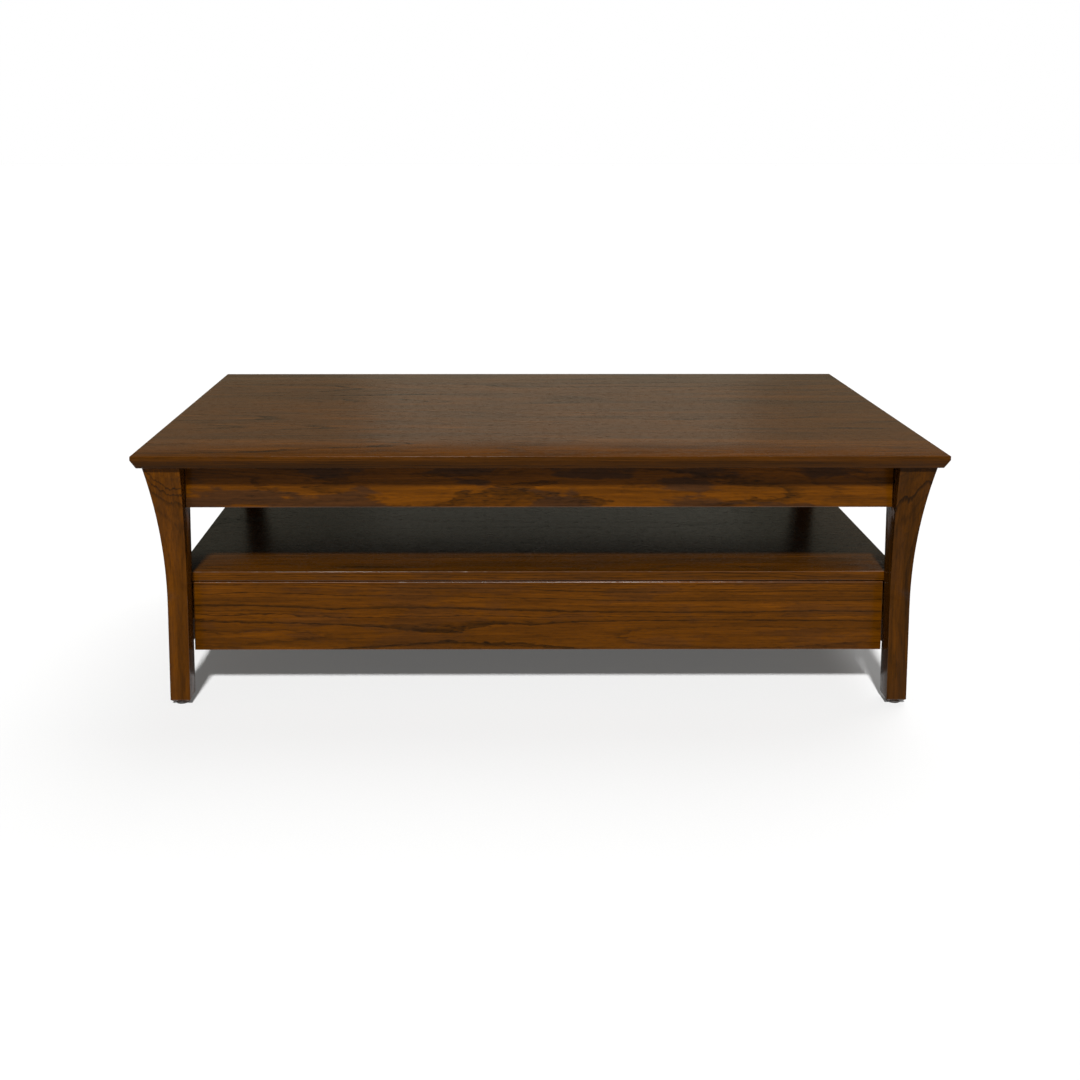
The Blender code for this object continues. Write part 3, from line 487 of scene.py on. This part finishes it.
# The shelf's face carries painted shade, so its edges are set lighter than it.
EDGE_DARKER = {"top_panel": 0.14, "shelf": -0.16}  # how much darker its edges are than its face
SMOKY = {"apron_front": 0.8, "drawer_front": 0.3}  # how strongly the stain clouded a board
CLOUDING = 0.22  # and the other boards
CUT = {  # the boards whose staves are sawn from a chosen place, all in metres
    "apron_front": ((38.51, 0.015, 0.104),),
    "drawer_front": ((12.1, 0.036, 0.054),),
}
LONG_EDGE = 0.02  # edges longer than this are eased
EDGEWISE = 0.8  # a face is an edge if less of its normal than this goes through the board


def lay_grain(mesh, name, axes, staves):
    """Gives each face corner its place in the tree that its board was sawn from."""
    along, across, through = axes
    low = [min(v.co[i] for v in mesh.vertices) for i in range(3)]
    high = [max(v.co[i] for v in mesh.vertices) for i in range(3)]
    width = (high[across] - low[across]) / staves
    draw = random.Random(name)
    cuts = [
        (draw.uniform(*SAWN_ALONG), draw.uniform(*SAWN_ASIDE) * width, draw.uniform(*SAWN_UP))
        for _ in range(staves)
    ]
    cuts = CUT.get(name, cuts)
    tones = STAVE_TONE_AND_PAINTED_LIGHT.get(name) or [draw.uniform(-1, 1) * STAIN_SPREAD for _ in range(staves)]
    layer = mesh.attributes.new("grain_at", "FLOAT_VECTOR", "CORNER")
    # each face's darkening: stain, and on some boards painted light
    stain_and_painted_light = mesh.attributes.new("stain_and_painted_light", "FLOAT", "FACE")
    smoky = mesh.attributes.new("smoky", "FLOAT", "FACE")
    for face in mesh.polygons:
        stave = int((face.center[across] - low[across]) / width)
        stave = min(max(stave, 0), staves - 1)
        shift, aside, depth = cuts[stave]
        edge = EDGE_DARKER.get(name, 0.0) if abs(face.normal[through]) < EDGEWISE else 0.0
        stain_and_painted_light.data[face.index].value = tones[stave] + edge
        smoky.data[face.index].value = SMOKY.get(name, CLOUDING)
        middle = low[across] + (stave + 0.5) * width
        for corner in face.loop_indices:
            co = mesh.vertices[mesh.loops[corner].vertex_index].co
            place = (
                co[along] + shift,
                co[across] - middle + aside,
                co[through] - (low[through] + high[through]) / 2 + depth,
            )
            layer.data[corner].vector = place


def board(node, body, slot, axes, radius=0.0012, staves=1):
    """A board worked up from its CAD node: glued from staves, its long outside arrises eased."""
    bm = merged_copy(node)
    ease(bm, radius, lambda e: e.calc_length() > LONG_EDGE)
    across = axes[1]
    low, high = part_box(node)
    for cut in range(1, staves):
        place, normal = Vector(), Vector()
        place[across] = low[across] + (high[across] - low[across]) * cut / staves
        normal[across] = 1.0
        geometry = bm.verts[:] + bm.edges[:] + bm.faces[:]
        bmesh.ops.bisect_plane(bm, geom=geometry, dist=0.000001, plane_co=place, plane_no=normal)
    mesh = smooth_mesh(bm, f"{node}_eased")
    lay_grain(mesh, node, axes, staves)
    return finish_piece(f"{node}_eased", mesh, body, slot, [node])


board("top_panel", "lid", "stained_oak", FLAT, radius=0.0007, staves=6)
board("shelf", "table_frame", "stained_oak", FLAT, radius=0.0010, staves=5)
for place in ("front", "back"):
    board(f"apron_{place}", "table_frame", "stained_oak", LONG_EDGE_UP)
for side in SIDES:
    board(f"apron_{side}", "table_frame", "stained_oak", DEEP_EDGE_UP)
    board(f"case_side_{side}", "table_frame", "stained_oak", DEEP_EDGE_UP, radius=0.0010)
    board(f"drawer_side_{side}", "drawer", "drawer_wood", DEEP_EDGE_UP, radius=0.0008)
    board(f"slide_packer_{side}", "table_frame", "block_wood", DEEP_EDGE_UP, radius=0.0006)
for corner in CORNERS:
    board(f"leg_{corner}", "table_frame", "stained_oak", UPRIGHT, radius=0.0014)
    board(f"corner_block_{corner}", "table_frame", "block_wood", FLAT, radius=0.0008)
board("case_back", "table_frame", "stained_oak", LONG_EDGE_UP, radius=0.0008)
board("drawer_front", "drawer", "stained_oak", LONG_EDGE_UP)
board("drawer_back", "drawer", "drawer_wood", LONG_EDGE_UP, radius=0.0006)
board("compartment_floor", "table_frame", "compartment_panel", FLAT, radius=0.0003)
board("drawer_bottom", "drawer", "compartment_panel", FLAT, radius=0.0003)


# Sheet steel --------------------------------------------------------------------------------------
FOLD = 0.10  # folds are the edges longer than this
CHANNEL_BEND = 0.0024  # the outside radius of a fold
SLIDE_BEND = 0.0010
TUMBLED = 0.0004  # how far tumbling rounds a sheared edge


def folded(node, body, slot, radius):
    """Folded sheet, its corners rounded on the outside as a press leaves them."""
    bm = merged_copy(node)
    ease(bm, radius, lambda e: e.calc_length() > FOLD)
    return finish_piece(f"{node}_folded", smooth_mesh(bm, f"{node}_folded"), body, slot, [node])


def cut_bar(node, body, slot):
    """A flat bar, its sheared edges tumbled smooth."""
    bm = merged_copy(node)
    ease(bm, TUMBLED, lambda e: True, segments=2)
    return finish_piece(f"{node}_tumbled", smooth_mesh(bm, f"{node}_tumbled"), body, slot, [node])


# The name of each rear arm's body, and of each middle slide's.
REAR_ARM = {side: f"{side}_rear_arm" for side in SIDES}
SLIDE_MIDDLE = {side: f"{side}_slide_middle" for side in SIDES}

for side in SIDES:
    folded(f"base_channel_{side}", "table_frame", "black_steel", CHANNEL_BEND)
    folded(f"top_channel_{side}", "lid", "black_steel", CHANNEL_BEND)
    folded(f"slide_outer_{side}", "table_frame", "zinc_steel", SLIDE_BEND)
    folded(f"slide_middle_{side}", SLIDE_MIDDLE[side], "zinc_steel", SLIDE_BEND)
    folded(f"slide_inner_{side}", "drawer", "zinc_steel", SLIDE_BEND)
    cut_bar(f"front_arm_{side}", "front_arms", "black_steel")
    cut_bar(f"rear_arm_{side}", REAR_ARM[side], "black_steel")


# Turned parts -------------------------------------------------------------------------------------
# Turn a profile's own upward axis to lie along X, or leave it upright.
X_AXIS = Matrix(((0, 0, 1), (1, 0, 0), (0, 1, 0)))
Z_AXIS = Matrix.Identity(3)
TURN_STEPS = 48  # facets round a turned part
PIN_SHANK = 4.0  # mm, the radius that passes through the arms
STOP_SHANK = 3.0


def turned(name, body, slot, profile, axis, centre, replaced, flip=1, hollow=False):
    """A profile of (radius, height) points in millimetres, turned about an axis through centre.

    Flip -1 turns it end for end, and a hollow one closes on itself round a bore.
    """
    bm = bmesh.new()
    rings = []
    for radius, height in profile:
        steps = TURN_STEPS if radius else 1
        turns = [2 * math.pi * i / steps for i in range(steps)]
        spots = [(radius * math.cos(t), radius * math.sin(t), flip * height) for t in turns]
        rings.append([bm.verts.new(axis @ Vector(s) / 1000 + Vector(centre)) for s in spots])
    for first, second in zip(rings, rings[1:] + rings[:1] if hollow else rings[1:]):
        for i in range(TURN_STEPS):
            j = (i + 1) % TURN_STEPS
            corners = [first[i % len(first)], first[j % len(first)]]
            corners += [second[j % len(second)], second[i % len(second)]]
            bm.faces.new(list(dict.fromkeys(corners)))
    bmesh.ops.recalc_face_normals(bm, faces=bm.faces)
    return finish_piece(name, smooth_mesh(bm, name), body, slot, replaced)


def middle(node):
    """The middle of a CAD node's box, and its size."""
    low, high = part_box(node)
    return (low + high) / 2, high - low


def make_pin(node, body, shank, head_inward):
    """A pin along X with a domed head, its far end chamfered."""
    centre, size = middle(node)
    out = math.copysign(1, centre.x)
    flip = out if head_inward else -out
    head, length = size.z * 500, size.x * 1000
    profile = [
        (0, 0), (head * 0.5, 0.12), (head * 0.8, 0.5), (head * 0.95, 1.0), (head, 1.5), (head, 2),
        (shank, 2), (shank, length - 0.5), (shank - 0.5, length), (0, length),
    ]
    start = centre - Vector((flip * size.x / 2, 0, 0))
    turned(f"{node}_turned", body, "pin_steel", profile, X_AXIS, start, [node], flip)


def make_bush(side, out):
    """A flanged nylon bush in the channel's inner wall."""
    centre, size = middle(f"pivot_bush_{side}")
    bore, flange, length = 8.4, size.z * 500, size.x * 1000
    outer, face = 9.9, 1.5
    profile = [
        (bore, 0.3), (bore + 0.3, 0), (flange - 0.4, 0), (flange, 0.4), (flange, face),
        (outer, face), (outer, length - 0.4), (outer - 0.4, length), (bore, length),
    ]
    start = centre - Vector((out * size.x / 2, 0, 0))
    name = f"pivot_bush_{side}_turned"
    replaced = [f"pivot_bush_{side}"]
    turned(name, "table_frame", "bush_plastic", profile, X_AXIS, start, replaced, out, hollow=True)


def make_cross_tube():
    """The tube that makes the two front arms turn as one."""
    centre, size = middle("cross_tube")
    half, outer, inner = size.x * 500, size.z * 500, 6.5
    profile = [
        (inner, -half), (outer - 0.5, -half), (outer, 0.5 - half),
        (outer, half - 0.5), (outer - 0.5, half), (inner, half),
    ]
    name = "cross_tube_drawn"
    replaced = ["cross_tube"]
    turned(name, "front_arms", "black_steel", profile, X_AXIS, centre, replaced, hollow=True)


def make_glide(corner):
    """A nylon disc on a nail, its rim rounded so that it slides."""
    node = f"foot_glide_{corner}"
    centre, size = middle(node)
    radius, height = size.x * 500, size.z * 1000
    profile = [
        (0, height), (radius - 0.3, height), (radius, height - 0.3), (radius, 1.5),
        (radius - 0.4, 0.5), (radius - 1.3, 0), (4.6, 0), (4.2, 0.9), (0, 0.9),
    ]
    foot = centre - Vector((0, 0, size.z / 2))
    turned(f"{node}_turned", "table_frame", "glide_plastic", profile, Z_AXIS, foot, [node])


def make_bumper(corner):
    """A stick-on rubber dome that the top comes down on."""
    node = f"lid_bumper_{corner}"
    centre, size = middle(node)
    radius, height = size.x * 500, size.z * 1000
    profile = [
        (0, height), (radius * 0.45, height - 0.03), (radius * 0.72, height - 0.2),
        (radius * 0.9, height - 0.55), (radius, height * 0.35), (radius, 0), (0, 0),
    ]
    foot = centre - Vector((0, 0, size.z / 2))
    turned(f"{node}_domed", "table_frame", "bumper_rubber", profile, Z_AXIS, foot, [node])


make_cross_tube()
for side, out in SIDES.items():
    make_bush(side, out)
    make_pin(f"front_top_pin_{side}", "lid", PIN_SHANK, head_inward=False)
    make_pin(f"rear_top_pin_{side}", "lid", PIN_SHANK, head_inward=True)
    make_pin(f"rear_pivot_pin_{side}", "table_frame", PIN_SHANK, head_inward=True)
    make_pin(f"arm_stop_{side}", "table_frame", STOP_SHANK, head_inward=True)
for corner in CORNERS:
    make_glide(corner)
    make_bumper(corner)


# Springs ------------------------------------------------------------------------------------------
WIRE = 0.0025
COIL_RADIUS = 0.0109
COIL_TURNS = 4.5
COIL_PITCH = 0.0030
COIL_STEPS = 32  # points in one turn
SPRING_LEG = 0.022
LEG_REACHES = (SPRING_LEG * 0.33, SPRING_LEG * 0.66, SPRING_LEG)  # points along a leg
HALF_ARM = 0.0015  # half an arm's thickness
SPRING_GAP = 0.0003  # between the coil and the arm
AXLE = middle("cross_tube")[0]
ARM_END = middle("front_top_pin_left")[0]
ARM_RISE = math.atan2(ARM_END.z - AXLE.z, ARM_END.y - AXLE.y)


def spring_path(out):
    """From the leg on the front arm, round the coil, to the leg on the base channel."""
    start_x = abs(middle("front_arm_left")[0].x) + HALF_ARM + WIRE / 2 + SPRING_GAP
    first = ARM_RISE - math.pi / 2
    path = []

    def spot(x, y, z):
        path.append(Vector((out * x, AXLE.y + y, AXLE.z + z)))

    along = Vector((math.cos(ARM_RISE), math.sin(ARM_RISE)))
    root = COIL_RADIUS * Vector((math.cos(first), math.sin(first)))
    for reach in reversed(LEG_REACHES):
        spot(start_x, *(root + reach * along))
    steps = round(COIL_TURNS * COIL_STEPS)
    for step in range(steps + 1):
        turn = first - 2 * math.pi * step / COIL_STEPS
        x = start_x + COIL_PITCH * step / COIL_STEPS
        spot(x, COIL_RADIUS * math.cos(turn), COIL_RADIUS * math.sin(turn))
    way = Vector((math.sin(turn), -math.cos(turn)))
    end = COIL_RADIUS * Vector((math.cos(turn), math.sin(turn)))
    for reach in LEG_REACHES:
        spot(x, *(end + reach * way))
    return path, start_x, x


def make_spring(side, out):
    """A wound torsion spring, one leg pressing on the arm and the other on the channel.
    """
    path, arm_x, frame_x = spring_path(out)
    name = f"lift_spring_{side}_wound"
    curve = bpy.data.curves.new(name, "CURVE")
    curve.dimensions = "3D"
    curve.bevel_depth = WIRE / 2
    curve.bevel_resolution = 3
    curve.use_fill_caps = True
    spline = curve.splines.new("POLY")
    spline.points.add(len(path) - 1)
    for point, place in zip(spline.points, path):
        point.co = (*place, 1.0)
    bm = made_by(link(name, curve))
    bmesh.ops.remove_doubles(bm, verts=bm.verts, dist=0.000001)
    bmesh.ops.recalc_face_normals(bm, faces=bm.faces)
    spring = link(name, smooth_mesh(bm, name, angle=50))
    spring.data.materials.append(FINISH["spring_steel"])
    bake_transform(spring)
    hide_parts(f"lift_spring_{side}")


for side, out in SIDES.items():
    make_spring(side, out)


# Screws, nuts and ball rows -----------------------------------------------------------------------
def new_nodes(name, sizes):
    """A geometry tree with a mesh and named sizes coming in, and a mesh going out."""
    tree = bpy.data.node_groups.new(name, "GeometryNodeTree")
    tree.interface.new_socket("Geometry", in_out="INPUT", socket_type="NodeSocketGeometry")
    for size in sizes:
        tree.interface.new_socket(size, in_out="INPUT", socket_type="NodeSocketFloat")
    tree.interface.new_socket("Material", in_out="INPUT", socket_type="NodeSocketMaterial")
    tree.interface.new_socket("Geometry", in_out="OUTPUT", socket_type="NodeSocketGeometry")
    return tree, add(tree, "NodeGroupInput").node.outputs


def end_tree(tree, sizes, placed):
    """Makes the instances real, gives them their material, and ends the tree."""
    solid = add(tree, "GeometryNodeRealizeInstances", (placed,))
    inputs = {"Geometry": solid, "Material": sizes["Material"]}
    finished = add(tree, "GeometryNodeSetMaterial", inputs)
    add(tree, "NodeGroupOutput", (finished,))
    return tree


def set_at_points(tree, sizes, shape):
    """Sets a shape at each point, its Z along the point's facing, and ends the tree."""
    facing = add(tree, "GeometryNodeInputNamedAttribute", ("facing",), data_type="FLOAT_VECTOR")
    turn = add(tree, "FunctionNodeAlignRotationToVector", {"Vector": facing}, axis="Z")
    inputs = {"Points": sizes["Geometry"], "Instance": shape, "Rotation": turn}
    placed = add(tree, "GeometryNodeInstanceOnPoints", inputs)
    return end_tree(tree, sizes, placed)


def lifted(tree, shape, height):
    """A shape moved up by a socket's height."""
    place = add(tree, "ShaderNodeCombineXYZ", (0.0, 0.0, height))
    return add(tree, "GeometryNodeTransform", {"Geometry": shape, "Translation": place})


def screw_tree():
    """A domed head with a crossed recess."""
    tree, sizes = new_nodes("screw_heads", ("Head Radius", "Head Height", "Slot Width"))
    radius, height, slot = sizes["Head Radius"], sizes["Head Height"], sizes["Slot Width"]
    ball = add(tree, "GeometryNodeMeshUVSphere", {"Segments": 24, "Rings": 12, "Radius": 1.0})
    scale = add(tree, "ShaderNodeCombineXYZ", (radius, radius, height))
    dome = add(tree, "GeometryNodeTransform", {"Geometry": ball, "Scale": scale})
    wide = add(tree, MATH, (radius, 1.1), operation="MULTIPLY")
    deep = add(tree, MATH, (height, 0.9), operation="MULTIPLY")
    bar_sizes = add(tree, "ShaderNodeCombineXYZ", (wide, slot, deep))
    bar = add(tree, "GeometryNodeMeshCube", {"Size": bar_sizes})
    cross_sizes = add(tree, "ShaderNodeCombineXYZ", (slot, wide, deep))
    cross = add(tree, "GeometryNodeMeshCube", {"Size": cross_sizes})
    bar, cross = lifted(tree, bar, height), lifted(tree, cross, height)
    head = add(tree, "GeometryNodeMeshBoolean", {"Mesh 1": dome, "Mesh 2": bar}, solver="EXACT")
    head = add(tree, "GeometryNodeMeshBoolean", {"Mesh 1": head, "Mesh 2": cross}, solver="EXACT")
    return set_at_points(tree, sizes, head)


def nut_tree():
    """A hexagon nut on a washer, with the bolt's end through it."""
    names = ("Washer Radius", "Washer Height", "Nut Radius", "Nut Height", "Bolt Radius", "Reach")
    tree, sizes = new_nodes("leg_bolts", names)
    parts = (
        ("Washer Radius", "Washer Height", 32), ("Nut Radius", "Nut Height", 6),
        ("Bolt Radius", "Reach", 20),
    )
    join = tree.nodes.new("GeometryNodeJoinGeometry")
    floor = 0.0
    for radius, height, sides in parts:
        inputs = {"Vertices": sides, "Radius": sizes[radius], "Depth": sizes[height]}
        disc = add(tree, "GeometryNodeMeshCylinder", inputs)
        lift = add(tree, MATH, (sizes[height], 0.5, floor), operation="MULTIPLY_ADD")
        tree.links.new(lifted(tree, disc, lift), join.inputs[0])
        floor = add(tree, MATH, (floor, sizes[height]), operation="ADD")
    return set_at_points(tree, sizes, join.outputs[0])


def ball_tree():
    """Rows of bearing balls, one row from each point."""
    tree, sizes = new_nodes("ball_rows", ("Ball Radius", "Pitch", "Count"))
    inputs = {"Radius": sizes["Ball Radius"], "Subdivisions": 2}
    ball = add(tree, "GeometryNodeMeshIcoSphere", inputs)
    step = add(tree, "ShaderNodeCombineXYZ", (0.0, sizes["Pitch"], 0.0))
    line = add(tree, "GeometryNodeMeshLine", {"Count": sizes["Count"], "Offset": step})
    row = add(tree, "GeometryNodeInstanceOnPoints", {"Points": line, "Instance": ball})
    inputs = {"Points": sizes["Geometry"], "Instance": row}
    placed = add(tree, "GeometryNodeInstanceOnPoints", inputs)
    return end_tree(tree, sizes, placed)


def grow(name, tree, body, slot, spots, **sizes):
    """Runs a tree on spots, each a place and the way that it faces, and keeps the plain mesh."""
    points = bpy.data.meshes.new(name)
    points.from_pydata([place for place, _ in spots], [], [])
    facing = points.attributes.new("facing", "FLOAT_VECTOR", "POINT")
    for datum, (_, way) in zip(facing.data, spots):
        datum.vector = way
    seed = link(name, points)
    modifier = seed.modifiers.new("grow", "NODES")
    modifier.node_group = tree
    values = {key.replace("_", " "): value for key, value in sizes.items()}
    values["Material"] = FINISH[slot]
    for item in tree.interface.items_tree:
        if item.in_out == "INPUT" and item.name in values:
            modifier[item.identifier] = values[item.name]
    return finish_piece(name, smooth_mesh(made_by(seed), name, angle=35), body, slot)


SCREW = {"Head_Radius": 0.0042, "Head_Height": 0.0022, "Slot_Width": 0.0011}
NAIL = {"Head_Radius": 0.0032, "Head_Height": 0.0008, "Slot_Width": 0.0006}
BOLT = {
    "Washer_Radius": 0.0085, "Washer_Height": 0.0012, "Nut_Radius": 0.0062, "Nut_Height": 0.0048,
    "Bolt_Radius": 0.0029, "Reach": 0.0036,
}
BALLS = {"Ball_Radius": 0.0012, "Pitch": 0.0125, "Count": 9.0}
CHANNEL_SHEET = 0.0025
SLIDE_SHEET = 0.0012
END_SCREW = 0.012  # from a channel's end to its first screw
BLOCK_SLANT = 0.039  # how far a corner block's slanting face goes along X, and along Y
NAIL_UP = 0.0013  # from the floor to a nail's head in its glide
REAR_BALLS = 0.125  # from the middle slide's rear end to its rear rows' first ball
FRONT_BALLS = 0.020  # from its front end to its front rows' first ball


def channel_screws():
    """Along each base channel's outer wall, and up through each top channel's web."""
    tree = screw_tree()
    for side, out in SIDES.items():
        low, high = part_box(f"base_channel_{side}")
        wall = max(abs(low.x), abs(high.x)) - CHANNEL_SHEET
        height = (low.z + high.z) / 2
        # The screws between the end ones stand clear of the pins and the arms.
        rows = (low.y + END_SCREW, low.y + 0.064, high.y - 0.036, high.y - END_SCREW)
        spots = [((out * wall, y, height), (-out, 0, 0)) for y in rows]
        grow(f"base_channel_screws_{side}", tree, "table_frame", "zinc_steel", spots, **SCREW)
        low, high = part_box(f"top_channel_{side}")
        rows = (low.y + END_SCREW, high.y - 0.040, high.y - END_SCREW)
        spots = [(((low.x + high.x) / 2, y, high.z - CHANNEL_SHEET), (0, 0, -1)) for y in rows]
        grow(f"top_channel_screws_{side}", tree, "lid", "zinc_steel", spots, **SCREW)


def leg_bolts():
    """One bolt into each leg, its nut and washer on the corner block's slanting face."""
    spots = []
    for corner, (sx, sy) in CORNERS.items():
        centre, size = middle(f"corner_block_{corner}")
        inner = Vector((centre.x - sx * size.x / 2, centre.y - sy * size.y / 2))
        face = Vector((abs(inner.x) + BLOCK_SLANT / 2, abs(inner.y) + BLOCK_SLANT / 2))
        spots.append(((sx * face.x, sy * face.y, centre.z), (-sx, -sy, 0)))
    grow("leg_bolts", nut_tree(), "table_frame", "zinc_steel", spots, **BOLT)


def glide_nails():
    """One up through the middle of each glide."""
    tree = screw_tree()
    spots = []
    for corner in CORNERS:
        centre, _ = middle(f"foot_glide_{corner}")
        spots.append(((centre.x, centre.y, NAIL_UP), (0, 0, -1)))
    grow("glide_nails", tree, "table_frame", "zinc_steel", spots, **NAIL)


def slide_balls():
    """Rows between the slides' flanges: behind, against the outer, and ahead, against the inner."""
    tree = ball_tree()
    for side in SIDES:
        low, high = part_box(f"slide_middle_{side}")
        centre, size = middle(f"slide_middle_{side}")
        spots = []
        for other, first in (("outer", high.y - REAR_BALLS), ("inner", low.y + FRONT_BALLS)):
            _, beside = middle(f"slide_{other}_{side}")
            rise = (beside.z / 2 + size.z / 2 - SLIDE_SHEET) / 2
            spots += [((centre.x, first, centre.z + up * rise), (0, 0, 1)) for up in (-1, 1)]
        body = SLIDE_MIDDLE[side]
        grow(f"slide_balls_{side}", tree, body, "pin_steel", spots, **BALLS)


channel_screws()
leg_bolts()
glide_nails()
slide_balls()


# Floor and surroundings ---------------------------------------------------------------------------
FLOOR_HALF = 60.0
# A lit screen stands behind the table, and the lacquer reflects it. Its middle, and where it fades
# into the wall on each side, are sines of the turn from straight behind.
SCREEN_AT = 0.055
SCREEN_FADES = (0.16, 0.21)
# How the screen and the wall are lit at each height, which is the sine of the rise to it.
SCREEN = ((0.195, "#a09c8a"), (0.24, "#fffbe6"), (0.275, "#efead5"), (0.335, "#4c4c4c"))
WALL = ((0.195, "#868270"), (0.24, "#bcb8a5"), (0.275, "#b0ac99"), (0.335, "#4c4c4c"))


def make_floor():
    """A wide sheet of white paper under the table."""
    bm = bmesh.new()
    bmesh.ops.create_grid(bm, x_segments=1, y_segments=1, size=FLOOR_HALF)
    mesh = bpy.data.meshes.new("floor")
    bm.to_mesh(mesh)
    bm.free()
    mesh.materials.append(paper_sweep())
    link("floor", mesh)


def make_surround():
    """A dim grey studio with a lit screen in it, though the camera sees plain white all round."""
    world = bpy.data.worlds.new("studio")
    world.use_nodes = True
    tree = world.node_tree
    way = add(tree, "ShaderNodeTexCoord", out="Generated")
    rise = add(tree, "ShaderNodeSeparateXYZ", (way,), out="Z")
    aside = add(tree, "ShaderNodeSeparateXYZ", (way,), out="X")
    aside = add(tree, MATH, (aside, SCREEN_AT), operation="SUBTRACT")
    aside = add(tree, MATH, (aside,), operation="ABSOLUTE")
    aside = add(tree, RANGE, (aside, *SCREEN_FADES), **EASED)
    screen = add(tree, "ShaderNodeValToRGB", (rise,), stops=SCREEN)
    wall = add(tree, "ShaderNodeValToRGB", (rise,), stops=WALL)
    room = add(tree, MIX, {0: aside, 6: screen, 7: wall}, **COLOURS)
    seen = add(tree, "ShaderNodeLightPath", out="Is Camera Ray")
    shade = add(tree, MIX, {0: seen, 6: room, 7: colour("#ffffff")}, **COLOURS)
    tree.links.new(shade, tree.nodes["Background"].inputs["Color"])
    bpy.context.scene.world = world


make_floor()
make_surround()
make_camera()
make_lamp("key", strength=6.9, width=5.0, azimuth=-4, elevation=46)
make_lamp("fill", strength=1.3, width=50.0, azimuth=150, elevation=55)
bpy.context.scene.view_settings.view_transform = "Standard"
